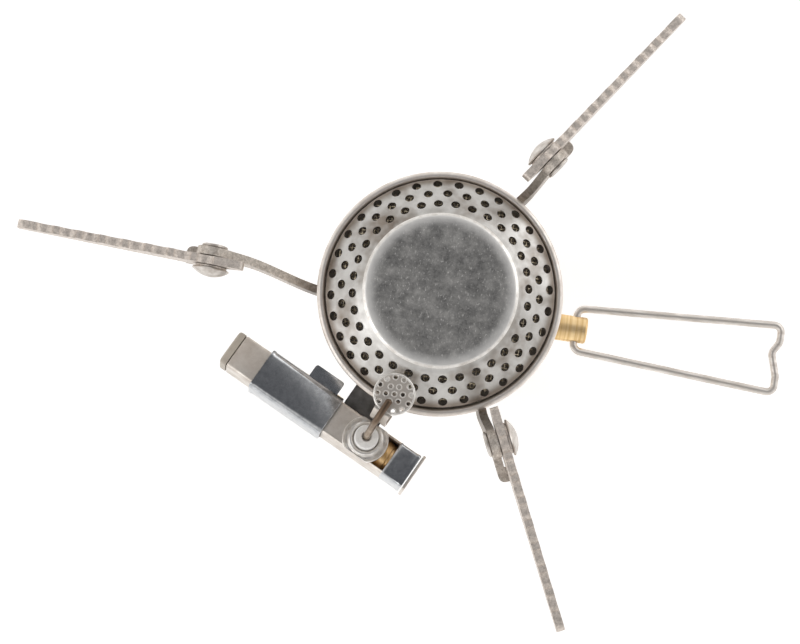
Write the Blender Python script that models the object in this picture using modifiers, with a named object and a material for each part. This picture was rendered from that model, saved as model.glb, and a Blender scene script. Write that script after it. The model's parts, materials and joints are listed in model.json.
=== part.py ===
"""Camping stove that screws onto a gas canister, modelled as an assembly of separate pieces.

The origin is where the stove's axis meets the canister, on the face that seats on the canister.
+Z runs up the stove's axis and +X runs along the valve spindle towards the wire handle. Metres.
"""

import math

import bmesh
import bpy
from mathutils import Euler, Matrix, Vector

MM = 0.001

# Clearances
CONTACT_GAP = 0.3 * MM  # between two pieces that touch or seat on each other
RUNNING_GAP = 0.3 * MM  # between a shaft and its bore
SEAT_OVERLAP = 0.5 * MM  # how far a joined shape runs into the shape it grows from
CUT_MARGIN = 1.0 * MM  # how far a cutter runs past the face it opens
FRAME_MARK_SIZE = 10.0 * MM  # how large a frame's axes are drawn

# Valve body and what screws into it
SOCKET_RADIUS = 5.55 * MM
SOCKET_DEPTH = 9.0 * MM
FLANGE_RADIUS = 13.0 * MM
FLANGE_HEIGHT = 7.0 * MM
FLANGE_CHAMFER = 1.0 * MM
TOWER_RADIUS = 7.5 * MM
TOWER_TOP = 25.0 * MM
NECK_RADIUS = 4.2 * MM
NECK_HEIGHT = 4.8 * MM
FILTER_RECESS_RADIUS = 3.7 * MM
FILTER_RECESS_DEPTH = 1.3 * MM
FILTER_THICKNESS = 0.6 * MM
SEAL_CORD_RADIUS = 0.7 * MM
PIN_RADIUS = 1.1 * MM
PIN_ROOT_LENGTH = 2.4 * MM
PIN_REACH = 3.0 * MM
INLET_RADIUS = 0.7 * MM
INLET_OFFSET = 2.6 * MM
OUTLET_RADIUS = 1.0 * MM
NEEDLE_SEAT_RADIUS = 0.7 * MM
NEEDLE_RADIUS = 0.98 * MM
NEEDLE_LENGTH = 1.05 * MM

# Spindle, its gland, the knob and the wire handle
SPINDLE_HEIGHT = 16.0 * MM
SPINDLE_BOSS_RADIUS = 5.6 * MM
SPINDLE_BOSS_END = 13.0 * MM
SPINDLE_RADIUS = 1.8 * MM
SPINDLE_CHAMBER_START = 1.8 * MM
SPINDLE_CHAMBER_END = 7.5 * MM
SPINDLE_THREAD_RADIUS = 2.1 * MM
SPINDLE_IN_KNOB = 6.0 * MM
SPINDLE_SEAL_CORD_RADIUS = 0.7 * MM
GLAND_RECESS_RADIUS = 3.9 * MM
GLAND_HEX_ACROSS_FLATS = 10.0 * MM
GLAND_HEX_LENGTH = 4.0 * MM
KNOB_RADIUS = 3.5 * MM
KNOB_START = 20.0 * MM
KNOB_END = 40.1 * MM
KNOB_CHAMFER = 0.4 * MM
HANDLE_WIRE_RADIUS = 1.0 * MM
HANDLE_HOLE_FROM_KNOB_END = 3.0 * MM
HANDLE_REACH = 54.2 * MM
HANDLE_ROOT_HALF_WIDTH = 5.6 * MM
HANDLE_TIP_HALF_WIDTH = 9.2 * MM
HANDLE_KINK_DEPTH = 1.8 * MM
HANDLE_BEND_RADIUS = 2.4 * MM
HANDLE_END_INSET = 1.0 * MM

# Gas jet and mixing tube
JET_THREAD_RADIUS = 2.1 * MM
JET_THREAD_LENGTH = 3.4 * MM
JET_HEX_ACROSS_FLATS = 6.0 * MM
JET_HEX_LENGTH = 3.0 * MM
JET_ORIFICE_RADIUS = 0.35 * MM
TUBE_WALL = 1.0 * MM
TUBE_SHOULDER_RADIUS = 8.5 * MM
TUBE_SHOULDER_THICKNESS = 1.8 * MM
SHOULDER_TOP = 46.0 * MM
AIR_HOLE_RADIUS = 2.3 * MM
AIR_HOLE_COUNT = 4
AIR_HOLE_ABOVE_JET = 1.2 * MM

# Burner
CUP_SHEET = 0.8 * MM
RIM_RADIUS = 30.25 * MM
CUP_FLOOR_RADIUS = RIM_RADIUS - 7.65 * MM
CUP_DEPTH = 11.8 * MM
BEAD_RADIUS = 1.0 * MM
HUB_RADIUS = CUP_FLOOR_RADIUS - 2.6 * MM
HUB_THICKNESS = 1.6 * MM
NUT_ACROSS_FLATS = 15.0 * MM
NUT_HEIGHT = 3.0 * MM
TUBE_ABOVE_NUT = 1.6 * MM
PLATE_SHEET = 0.6 * MM
PLATE_SKIRT_DEPTH = 1.6 * MM
CONE_EDGE_RISE = 1.7 * MM
CONE_RISE = 5.5 * MM
CONE_TOP_RADIUS = RIM_RADIUS - 10.05 * MM
CENTRE_RADIUS = CONE_TOP_RADIUS - 1.8 * MM
CENTRE_RISE = 1.1 * MM
CENTRE_DISH = 0.4 * MM
CENTRE_DISH_HALFWAY = 0.32 * MM
CENTRE_DISH_AT_EDGE = 0.04 * MM
CENTRE_FLAT_RADIUS = 0.9 * CENTRE_RADIUS
CENTRE_EDGE_DROP = 0.11 * MM
CENTRE_EDGE_RISE = 0.44 * MM
FLAME_HOLE_RADIUS = 1.15 * MM
FLAME_HOLES_PER_ROW = 32
FLAME_ROW_INSETS = (3.4 * MM, 6.05 * MM, 8.8 * MM)  # from the rim
FLAME_HOLE_START = math.radians(99.7)
GAUZE_THICKNESS = 0.4 * MM
GAUZE_DEPTH = 1.4 * MM

# Pot supports. A reach is a distance from the stove's axis, and a side offset is to the arm's left.
PIVOT_ABOVE_RIM = 9.0 * MM
REAR_PIVOT_REACH = RIM_RADIUS + 25.15 * MM
LEFT_PIVOT_REACH = RIM_RADIUS + 10.85 * MM
RIGHT_PIVOT_REACH = RIM_RADIUS + 8.55 * MM
BRACKET_THICKNESS = 2.0 * MM
BRACKET_HALF_DEPTH = 3.2 * MM
BRACKET_KNEE_REACH = CUP_FLOOR_RADIUS + 4.0 * MM
BRACKET_SIDE = 1.5 * MM
BRACKET_EYE_RADIUS = 4.0 * MM
BRACKET_EYE_START = math.radians(-35)
FRONT_ROOT_SIDE = 2.5 * MM
REAR_ROOT_SIDE = 3.9 * MM
FRONT_JOG_START = RIM_RADIUS - 2.25 * MM
REAR_JOG_START = RIM_RADIUS + 0.05 * MM
JOG_END_BEFORE_PIVOT = 8.0 * MM
FOOT_WIDTH = 8.5 * MM
FOOT_LENGTH = 9.5 * MM
FOOT_START = TUBE_SHOULDER_RADIUS + 3.0 * MM
FOOT_THICKNESS = 2.0 * MM
FOOT_RIVET_RADIUS = 1.4 * MM
FOOT_RIVET_HEAD_RADIUS = 2.2 * MM
FOOT_RIVET_HEAD_HEIGHT = 0.8 * MM
FOOT_RIVET_HEAD_TAPER = 0.8  # its end radius over its widest
BLADE_THICKNESS = 2.0 * MM
BLADE_REACH = 47.2 * MM
BLADE_HEEL = 8.0 * MM
BLADE_HEEL_ROUND = 1.0 * MM
BLADE_HEEL_START = math.radians(-130)
BLADE_TOP = 5.0 * MM
BLADE_ROOT_BELOW = 3.5 * MM
BLADE_TIP_ABOVE = 0.8 * MM
BLADE_TIP_ROUND = 1.9 * MM
TIP_LAND = 3.0 * MM
TOOTH_WIDTH = 1.5 * MM
TOOTH_PITCH = 5.58 * MM
TOOTH_COUNT = 7
SCALLOP_WIDTH = 4.1 * MM
SCALLOP_DEPTH = 1.0 * MM
HOOK_START = 3.4 * MM
HOOK_END = 7.0 * MM
HOOK_THICKNESS = 2.0 * MM
BLADE_TAPER_AFTER_HOOK = 1.0 * MM
RIVET_RADIUS = 2.0 * MM
RIVET_DOME_RADIUS = 4.5 * MM
RIVET_DOME_HEIGHT = 2.2 * MM
RIVET_FLAT_RADIUS = 3.15 * MM
RIVET_FLAT_HEIGHT = 0.8 * MM
WASHER_THICKNESS = 0.4 * MM
WASHER_RADIUS = 3.8 * MM

# Piezo igniter. "Along" runs from its button towards its closed end.
IGNITER_ANGLE = math.radians(-26.2)
IGNITER_LEAN = math.radians(9.0)
IGNITER_REACH = RIM_RADIUS + 10.2 * MM
IGNITER_HEIGHT = SHOULDER_TOP
HOUSING_WIDTH = 9.3 * MM
HOUSING_HEIGHT = 9.4 * MM
HOUSING_WALL = 0.6 * MM
HOUSING_START = -19.5 * MM
HOUSING_END = 19.0 * MM
HOUSING_CAP_THICKNESS = 0.8 * MM
HOUSING_CAP_LIP = 0.5 * MM
WINDOW_END = 13.0 * MM
WINDOW_ARC_RADIUS = 5.65 * MM
BOSS_ALONG = 5.1 * MM
BOSS_RADIUS = 4.4 * MM
BOSS_HEIGHT = 0.5 * MM
COVER_WALL = 0.5 * MM
COVER_START = -26.4 * MM
COVER_END = -5.0 * MM
EAR_START = -15.5 * MM
EAR_END = -7.0 * MM
EAR_REACH = 3.2 * MM
BUTTON_TRAVEL = 2.0 * MM
BUTTON_SLEEVE_START = -33.8 * MM
BUTTON_SLEEVE_WALL = 0.6 * MM
BUTTON_PAD_THICKNESS = 1.9 * MM
BUTTON_PLUG_LENGTH = 10.0 * MM
BUTTON_EDGE_RADIUS = 0.5 * MM
PIEZO_RADIUS = 3.5 * MM
PIEZO_START = -12.0 * MM
STRIKER_RADIUS = 1.2 * MM
STRIKER_LENGTH = 4.0 * MM
SPRING_RADIUS = 2.3 * MM
SPRING_WIRE_RADIUS = 0.35 * MM
SPRING_TURNS = 5
CERAMIC_RADIUS = 3.0 * MM
CERAMIC_HEIGHT = 4.2 * MM
CERAMIC_EDGE = 0.4 * MM
COLLAR_RADIUS = 4.3 * MM
COLLAR_HEIGHT = 1.5 * MM
ELECTRODE_RADIUS = 0.85 * MM
ELECTRODE_TIP_REACH = RIM_RADIUS - 1.05 * MM
ELECTRODE_BEND_RADIUS = 4.0 * MM
ELECTRODE_BEND_BEFORE_DISC = 2.575 * MM
ELECTRODE_RISE = 4.0 * MM
SPARK_DISC_RADIUS = 5.15 * MM
SPARK_DISC_REACH = RIM_RADIUS - 3.25 * MM
SPARK_DISC_ABOVE_RIM = 7.4 * MM
SPARK_SHEET = 0.7 * MM
SPARK_NECK_WIDTH = 4.4 * MM
SPARK_NECK_SHEET = 0.6 * MM
SPARK_NECK_JOIN = 0.4 * MM
SPARK_NECK_BEND_RADIUS = 1.0 * MM
SPARK_NECK_BEND_ABOVE_RIM = 1.0 * MM
SPARK_FOOT_LENGTH = 3.0 * MM
SPARK_HOLE_RADIUS = 0.55 * MM
SPARK_HOLE_PITCH = 2.05 * MM
SPARK_HOLE_RINGS = 2
SPARK_HOLE_START = math.radians(30)
SPARK_GAP = 1.0 * MM
STAY_THICKNESS = 1.2 * MM
STAY_ROOT_WIDTH = 9.0 * MM
STAY_WIDTH = 10.5 * MM
STAY_NEAR_SHOULDER = 4.0 * MM
STAY_FAR_SHOULDER = 6.0 * MM
STAY_FLANGE_HEIGHT = 4.4 * MM
STAY_FLANGE_TOP = -0.1 * MM
SCREW_BELOW_MIDDLE = 2.64 * MM
SCREW_RADIUS = 0.9 * MM
SCREW_HEAD_RADIUS = 1.8 * MM
SCREW_HEAD_HEIGHT = 1.0 * MM

# Heights that follow from the stack of pieces above the valve
NECK_TOP = TOWER_TOP + NECK_HEIGHT
JET_TOP = NECK_TOP + CONTACT_GAP + JET_HEX_LENGTH
TUBE_RADIUS = NECK_RADIUS + RUNNING_GAP + TUBE_WALL
HUB_BOTTOM = SHOULDER_TOP + CONTACT_GAP
HUB_TOP = HUB_BOTTOM + HUB_THICKNESS
CUP_BOTTOM = HUB_TOP + CONTACT_GAP
NUT_BOTTOM = CUP_BOTTOM + CUP_SHEET + CONTACT_GAP
TUBE_TOP = NUT_BOTTOM + NUT_HEIGHT + TUBE_ABOVE_NUT
RIM_TOP = CUP_BOTTOM + CUP_DEPTH
CLAMP_HOLE_RADIUS = TUBE_RADIUS + RUNNING_GAP
PIVOT_HEIGHT = RIM_TOP + PIVOT_ABOVE_RIM
SPARK_DISC_HEIGHT = RIM_TOP + SPARK_DISC_ABOVE_RIM

# The cone of the burner plate, from the edge of its skirt up to the centre disc
SKIRT_RADIUS = RIM_RADIUS - 2 * BEAD_RADIUS - CONTACT_GAP
CONE_EDGE_HEIGHT = RIM_TOP + CONE_EDGE_RISE
CONE_TOP_HEIGHT = CONE_EDGE_HEIGHT + CONE_RISE
CONE_SLOPE = math.atan2(CONE_RISE, SKIRT_RADIUS - CONE_TOP_RADIUS)

# Side offsets of what stacks up along a support's rivet
BLADE_SIDE = BRACKET_SIDE + (BRACKET_THICKNESS + BLADE_THICKNESS) / 2 + CONTACT_GAP
BLADE_OUTER_SIDE = BLADE_SIDE + BLADE_THICKNESS / 2
WASHER_START = BLADE_OUTER_SIDE + CONTACT_GAP / 2
DOME_START = WASHER_START + WASHER_THICKNESS + CONTACT_GAP / 2
FLAT_HEAD_END = BRACKET_SIDE - BRACKET_THICKNESS / 2 - CONTACT_GAP / 2

ARMS = (
    # name, direction, pivot reach, where the jog starts, side offset before the jog
    ("rear", math.radians(177.6), REAR_PIVOT_REACH, REAR_JOG_START, REAR_ROOT_SIDE),
    ("left", math.radians(54.5), LEFT_PIVOT_REACH, FRONT_JOG_START, FRONT_ROOT_SIDE),
    ("right", math.radians(295.1), RIGHT_PIVOT_REACH, FRONT_JOG_START, FRONT_ROOT_SIDE),
)

HALF_PI = math.pi / 2
ALONG_X = (0.0, HALF_PI, 0.0)  # turns a piece made about Z onto X
ALONG_Y = (-HALF_PI, 0.0, 0.0)  # turns a piece made about Z onto Y
UPRIGHT = Matrix.Rotation(HALF_PI, 4, "X")  # stands a flat outline up, its Y becoming Z


# ---------------------------------------------------------------- scene and materials


def clear_scene():
    for obj in list(bpy.data.objects):
        bpy.data.objects.remove(obj, do_unlink=True)


def new_collection(name):
    collection = bpy.data.collections.new(name)
    bpy.context.scene.collection.children.link(collection)
    return collection


def principled(name, colour, roughness, metallic):
    material = bpy.data.materials.new(name)
    material.use_nodes = True
    shader = material.node_tree.nodes["Principled BSDF"]
    shader.inputs["Base Color"].default_value = (*colour, 1.0)
    shader.inputs["Roughness"].default_value = roughness
    shader.inputs["Metallic"].default_value = metallic
    material.diffuse_color = (*colour, 1.0)
    return material


clear_scene()
STOVE = new_collection("camping_stove")
CUTTERS = new_collection("cutters")

# ---------------------------------------------------------------- modelling helpers


def place(obj, parent=None, location=(0.0, 0.0, 0.0), rotation=(0.0, 0.0, 0.0)):
    obj.parent = parent
    obj.location = location
    obj.rotation_euler = rotation
    return obj


def empty(name, parent=None, location=(0.0, 0.0, 0.0), rotation=(0.0, 0.0, 0.0)):
    frame = bpy.data.objects.new(name, None)
    frame.empty_display_size = FRAME_MARK_SIZE
    STOVE.objects.link(frame)
    return place(frame, parent, location, rotation)


def piece(name, data, finish, **placing):
    """An object of the stove, with its material."""
    data.materials.append(finish)
    obj = bpy.data.objects.new(name, data)
    STOVE.objects.link(obj)
    return place(obj, **placing)


def tool(name, data, **placing):
    """A helper that a Boolean cuts with or joins, which isn't a piece of the stove."""
    obj = bpy.data.objects.new(name, data)
    CUTTERS.objects.link(obj)
    obj.hide_render = True
    obj.display_type = "WIRE"
    return place(obj, **placing)


def boolean(target, helper, operation="DIFFERENCE"):
    modifier = target.modifiers.new(helper.name, "BOOLEAN")
    modifier.operation = operation
    modifier.solver = "EXACT"
    modifier.object = helper
    return target


def profile_mesh(name, points, closed):
    """A turned piece's profile, as (radius, height) pairs, drawn in the XZ plane."""
    mesh = bpy.data.meshes.new(name)
    edges = [(i, i + 1) for i in range(len(points) - 1)]
    if closed:
        edges.append((len(points) - 1, 0))
    mesh.from_pydata([(radius, 0.0, height) for radius, height in points], edges, [])
    return mesh


def turn(obj, steps):
    """Turns a profile about the object's own Z axis."""
    screw = obj.modifiers.new("turn", "SCREW")
    screw.steps = steps
    screw.render_steps = steps
    screw.use_merge_vertices = True
    screw.merge_threshold = 1e-6
    screw.use_smooth_shade = True
    return obj


def turned(name, points, finish, steps=24, closed=False, **placing):
    """A turned piece. The profile runs down its outer side, and a ring's then up its bore."""
    return turn(piece(name, profile_mesh(name, points, closed), finish, **placing), steps)


def box_mesh(name, low, high):
    """A box between two corners."""
    low, high = Vector(low), Vector(high)
    bm = bmesh.new()
    bmesh.ops.create_cube(bm, size=1.0)
    bmesh.ops.scale(bm, vec=high - low, verts=bm.verts)
    bmesh.ops.translate(bm, vec=(low + high) / 2, verts=bm.verts)
    return finish_mesh(name, bm)


def finish_mesh(name, bm):
    mesh = bpy.data.meshes.new(name)
    bm.to_mesh(mesh)
    bm.free()
    return mesh


def add_rod(bm, radius, start, end, sides):
    """Adds a cylinder between two points to a bmesh."""
    start, end = Vector(start), Vector(end)
    turn_to_axis = (end - start).to_track_quat("Z", "Y").to_matrix().to_4x4()
    bmesh.ops.create_cone(
        bm,
        cap_ends=True,
        segments=sides,
        radius1=radius,
        radius2=radius,
        depth=(end - start).length,
        matrix=Matrix.Translation((start + end) / 2) @ turn_to_axis,
    )


def rod_mesh(name, radius, start, end, sides=20):
    bm = bmesh.new()
    add_rod(bm, radius, start, end, sides)
    return finish_mesh(name, bm)


def hexagon_mesh(name, across_flats, bottom, top):
    return rod_mesh(name, across_flats / math.sqrt(3), (0, 0, bottom), (0, 0, top), sides=6)


def cut_rod(target, name, radius, start, end, parent=None, sides=20):
    return boolean(target, tool(name, rod_mesh(name, radius, start, end, sides), parent=parent))


def torus(name, ring_radius, cord_radius, finish, **placing):
    bpy.ops.mesh.primitive_torus_add(
        major_radius=ring_radius, minor_radius=cord_radius, major_segments=24, minor_segments=6
    )
    ring = bpy.context.object
    mesh = ring.data
    bpy.data.objects.remove(ring)
    mesh.name = name
    return piece(name, mesh, finish, **placing)


def arc(centre, radius, start, end, steps):
    """Points along an arc, its ends included. Angles are in radians."""
    angles = [start + (end - start) * i / steps for i in range(steps + 1)]
    return [(centre[0] + radius * math.cos(a), centre[1] + radius * math.sin(a)) for a in angles]


def rounded_path(points, radius, steps=4):
    """The path through the points, with its inner corners rounded. Short legs get a smaller arc."""
    points = [Vector(point) for point in points]
    path = [points[0]]
    for before, corner, after in zip(points, points[1:], points[2:]):
        inward, outward = (before - corner).normalized(), (after - corner).normalized()
        half_angle = inward.angle(outward) / 2
        shortest = min((before - corner).length, (after - corner).length)
        setback = min(radius / math.tan(half_angle), 0.45 * shortest)
        arc_radius = setback * math.tan(half_angle)
        centre = corner + (inward + outward).normalized() * arc_radius / math.sin(half_angle)
        first, last = corner + inward * setback - centre, corner + outward * setback - centre
        path += [centre + first.slerp(last, i / steps) * arc_radius for i in range(steps + 1)]
    return path + [points[-1]]


def poly_spline(curve, points, cyclic):
    spline = curve.splines.new("POLY")
    spline.points.add(len(points) - 1)
    for target, point in zip(spline.points, points):
        target.co = (*Vector(point).to_3d(), 1.0)
    spline.use_cyclic_u = cyclic


def flat_curve(name, outlines, thickness):
    """A flat outline with holes, extruded both ways from its own XY plane."""
    curve = bpy.data.curves.new(name, "CURVE")
    curve.dimensions = "2D"
    curve.fill_mode = "BOTH"
    curve.extrude = thickness / 2
    for outline in outlines:
        poly_spline(curve, outline, cyclic=True)
    return curve


def wire(name, points, radius, finish, **placing):
    curve = bpy.data.curves.new(name, "CURVE")
    curve.dimensions = "3D"
    curve.bevel_depth = radius
    curve.bevel_resolution = 2
    curve.use_fill_caps = True
    poly_spline(curve, points, cyclic=False)
    return piece(name, curve, finish, **placing)


def mesh_of_curve(name, curve, transform=None):
    """The curve as a mesh with welded caps, which can be bent and cut."""
    source = bpy.data.objects.new(name, curve)
    CUTTERS.objects.link(source)
    bpy.context.view_layer.update()
    evaluated = source.evaluated_get(bpy.context.evaluated_depsgraph_get())
    mesh = bpy.data.meshes.new_from_object(evaluated)
    bpy.data.objects.remove(source)
    bm = bmesh.new()
    bm.from_mesh(mesh)
    bmesh.ops.remove_doubles(bm, verts=bm.verts, dist=1e-6)
    if transform is not None:
        bmesh.ops.transform(bm, matrix=transform, verts=bm.verts)
    bm.to_mesh(mesh)
    bm.free()
    mesh.name = name
    mesh.materials.clear()
    return mesh


# ---------------------------------------------------------------- valve


def valve_body(brass):
    """The body between canister and burner: a socket below, the needle seat, and a neck for the jet."""
    body = turned(
        "valve_body",
        [
            (0, NECK_TOP),
            (NECK_RADIUS, NECK_TOP),
            (NECK_RADIUS, TOWER_TOP),
            (TOWER_RADIUS, TOWER_TOP),
            (TOWER_RADIUS, FLANGE_HEIGHT),
            (FLANGE_RADIUS - FLANGE_CHAMFER, FLANGE_HEIGHT),
            (FLANGE_RADIUS, FLANGE_HEIGHT - FLANGE_CHAMFER),
            (FLANGE_RADIUS, FLANGE_CHAMFER),
            (FLANGE_RADIUS - FLANGE_CHAMFER, 0),
            (0, 0),
        ],
        brass,
    )
    axis_height = SPINDLE_HEIGHT
    boss = rod_mesh(
        "spindle_boss", SPINDLE_BOSS_RADIUS, (0, 0, axis_height), (SPINDLE_BOSS_END, 0, axis_height), 32
    )
    boolean(body, tool("spindle_boss", boss), "UNION")
    recess_top = SOCKET_DEPTH + FILTER_RECESS_DEPTH
    cut_rod(body, "socket", SOCKET_RADIUS, (0, 0, -CUT_MARGIN), (0, 0, SOCKET_DEPTH))
    cut_rod(
        body, "filter_recess", FILTER_RECESS_RADIUS, (0, 0, SOCKET_DEPTH - CUT_MARGIN), (0, 0, recess_top)
    )
    pin_hole_top = recess_top + PIN_ROOT_LENGTH
    cut_rod(
        body, "pin_hole", PIN_RADIUS + RUNNING_GAP, (0, 0, SOCKET_DEPTH), (0, 0, pin_hole_top), sides=16
    )
    cut_rod(
        body,
        "spindle_chamber",
        SPINDLE_THREAD_RADIUS + RUNNING_GAP,
        (SPINDLE_CHAMBER_START, 0, axis_height),
        (SPINDLE_BOSS_END, 0, axis_height),
    )
    cut_rod(
        body,
        "gland_recess",
        GLAND_RECESS_RADIUS,
        (SPINDLE_CHAMBER_END, 0, axis_height),
        (SPINDLE_BOSS_END + CUT_MARGIN, 0, axis_height),
    )
    cut_rod(
        body,
        "inlet",
        INLET_RADIUS,
        (INLET_OFFSET, 0, recess_top - CUT_MARGIN / 2),
        (INLET_OFFSET, 0, axis_height),
        sides=12,
    )
    cut_rod(
        body,
        "needle_seat",
        NEEDLE_SEAT_RADIUS,
        (-OUTLET_RADIUS / 2, 0, axis_height),
        (SPINDLE_CHAMBER_START + CUT_MARGIN, 0, axis_height),
        sides=12,
    )
    cut_rod(
        body,
        "outlet",
        OUTLET_RADIUS,
        (0, 0, axis_height - NEEDLE_SEAT_RADIUS),
        (0, 0, NECK_TOP + CUT_MARGIN),
        sides=12,
    )
    cut_rod(
        body,
        "jet_thread",
        JET_THREAD_RADIUS + RUNNING_GAP,
        (0, 0, NECK_TOP - JET_THREAD_LENGTH - CONTACT_GAP),
        (0, 0, NECK_TOP + CUT_MARGIN),
        sides=16,
    )
    return body


def canister_side_pieces(rubber, steel, mesh_steel):
    """What lies in the socket: the seal, the pin that opens the canister, and the filter."""
    seal_ring = SOCKET_RADIUS - CONTACT_GAP / 2 - SEAL_CORD_RADIUS
    seal_height = SOCKET_DEPTH - CONTACT_GAP - SEAL_CORD_RADIUS
    torus("canister_seal", seal_ring, SEAL_CORD_RADIUS, rubber, location=(0, 0, seal_height))
    pin_top = SOCKET_DEPTH + FILTER_RECESS_DEPTH + PIN_ROOT_LENGTH - CONTACT_GAP
    pin_tip = SOCKET_DEPTH - PIN_REACH
    turned(
        "valve_pin",
        [(0, pin_top), (PIN_RADIUS, pin_top), (PIN_RADIUS, pin_tip + PIN_RADIUS / 2), (0, pin_tip)],
        steel,
        steps=16,
    )
    filter_bottom = SOCKET_DEPTH + CONTACT_GAP
    turned(
        "filter_disc",
        ring_profile(
            PIN_RADIUS + 2 * CONTACT_GAP,
            FILTER_RECESS_RADIUS - CONTACT_GAP,
            filter_bottom,
            filter_bottom + FILTER_THICKNESS,
        ),
        mesh_steel,
        steps=24,
        closed=True,
    )


def ring_profile(bore, radius, bottom, top):
    return [(radius, top), (radius, bottom), (bore, bottom), (bore, top)]


def gland(brass, rubber, spindle_frame):
    """The nut and the seal that close the valve body round the spindle."""
    seal_ring = SPINDLE_RADIUS + CONTACT_GAP + SPINDLE_SEAL_CORD_RADIUS
    seal_place = SPINDLE_CHAMBER_END + CONTACT_GAP + SPINDLE_SEAL_CORD_RADIUS
    torus(
        "spindle_seal",
        seal_ring,
        SPINDLE_SEAL_CORD_RADIUS,
        rubber,
        parent=spindle_frame,
        location=(seal_place, 0, 0),
        rotation=ALONG_X,
    )
    nose_start = seal_place + SPINDLE_SEAL_CORD_RADIUS + CONTACT_GAP
    hex_start = SPINDLE_BOSS_END + CONTACT_GAP
    hex_end = hex_start + GLAND_HEX_LENGTH
    nut = piece(
        "gland_nut",
        hexagon_mesh("gland_nut", GLAND_HEX_ACROSS_FLATS, hex_start, hex_end),
        brass,
        parent=spindle_frame,
        rotation=ALONG_X,
    )
    nose_radius = GLAND_RECESS_RADIUS - CONTACT_GAP
    nose = rod_mesh(
        "gland_nose", nose_radius, (nose_start, 0, 0), (hex_start + SEAT_OVERLAP, 0, 0)
    )
    boolean(nut, tool("gland_nose", nose, parent=spindle_frame), "UNION")
    cut_rod(
        nut,
        "gland_bore",
        SPINDLE_RADIUS + RUNNING_GAP,
        (nose_start - CUT_MARGIN, 0, 0),
        (hex_end + CUT_MARGIN, 0, 0),
        parent=spindle_frame,
    )


def spindle_and_knob(steel, brass, spindle_frame):
    """The needle spindle and the knob on it, which turn together."""
    tip = SPINDLE_CHAMBER_START - CONTACT_GAP
    cone_length = NEEDLE_LENGTH + CONTACT_GAP
    thread_end = SPINDLE_CHAMBER_END - CONTACT_GAP
    end = KNOB_START + SPINDLE_IN_KNOB
    turned(
        "valve_spindle",
        [
            (0, end),
            (SPINDLE_RADIUS, end),
            (SPINDLE_RADIUS, thread_end),
            (SPINDLE_THREAD_RADIUS, thread_end),
            (SPINDLE_THREAD_RADIUS, tip + 2 * cone_length),
            (NEEDLE_RADIUS, tip + cone_length),
            (0, tip),
        ],
        steel,
        steps=24,
        parent=spindle_frame,
        rotation=ALONG_X,
    )
    bore_end = end + CONTACT_GAP
    bore = SPINDLE_RADIUS + RUNNING_GAP
    knob = turned(
        "control_knob",
        [
            (0, KNOB_END),
            (KNOB_RADIUS - KNOB_CHAMFER, KNOB_END),
            (KNOB_RADIUS, KNOB_END - KNOB_CHAMFER),
            (KNOB_RADIUS, KNOB_START + KNOB_CHAMFER),
            (KNOB_RADIUS - KNOB_CHAMFER, KNOB_START),
            (bore, KNOB_START),
            (bore, bore_end),
            (0, bore_end),
        ],
        brass,
        parent=spindle_frame,
        rotation=ALONG_X,
    )
    hole_place = KNOB_END - HANDLE_HOLE_FROM_KNOB_END
    cut_rod(
        knob,
        "handle_hole",
        HANDLE_WIRE_RADIUS + RUNNING_GAP,
        (hole_place, -KNOB_RADIUS - CUT_MARGIN, 0),
        (hole_place, KNOB_RADIUS + CUT_MARGIN, 0),
        parent=spindle_frame,
        sides=16,
    )


def handle(steel, spindle_frame):
    """The sprung wire loop. Its two ends enter the knob's cross hole, so it swings about that hole."""
    root, tip = HANDLE_ROOT_HALF_WIDTH, HANDLE_TIP_HALF_WIDTH
    shoulder = HANDLE_REACH
    route = [
        (0, HANDLE_END_INSET),
        (0, root),
        (shoulder, tip),
        (shoulder, tip / 2),
        (shoulder - HANDLE_KINK_DEPTH, tip / 6),
        (shoulder, -tip / 2),
        (shoulder, -tip),
        (0, -root),
        (0, -HANDLE_END_INSET),
    ]
    path = rounded_path([(x, y, 0) for x, y in route], HANDLE_BEND_RADIUS)
    hinge = KNOB_END - HANDLE_HOLE_FROM_KNOB_END
    wire(
        "handle_wire", path, HANDLE_WIRE_RADIUS, steel, parent=spindle_frame, location=(hinge, 0, 0)
    )


# ---------------------------------------------------------------- burner


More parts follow.
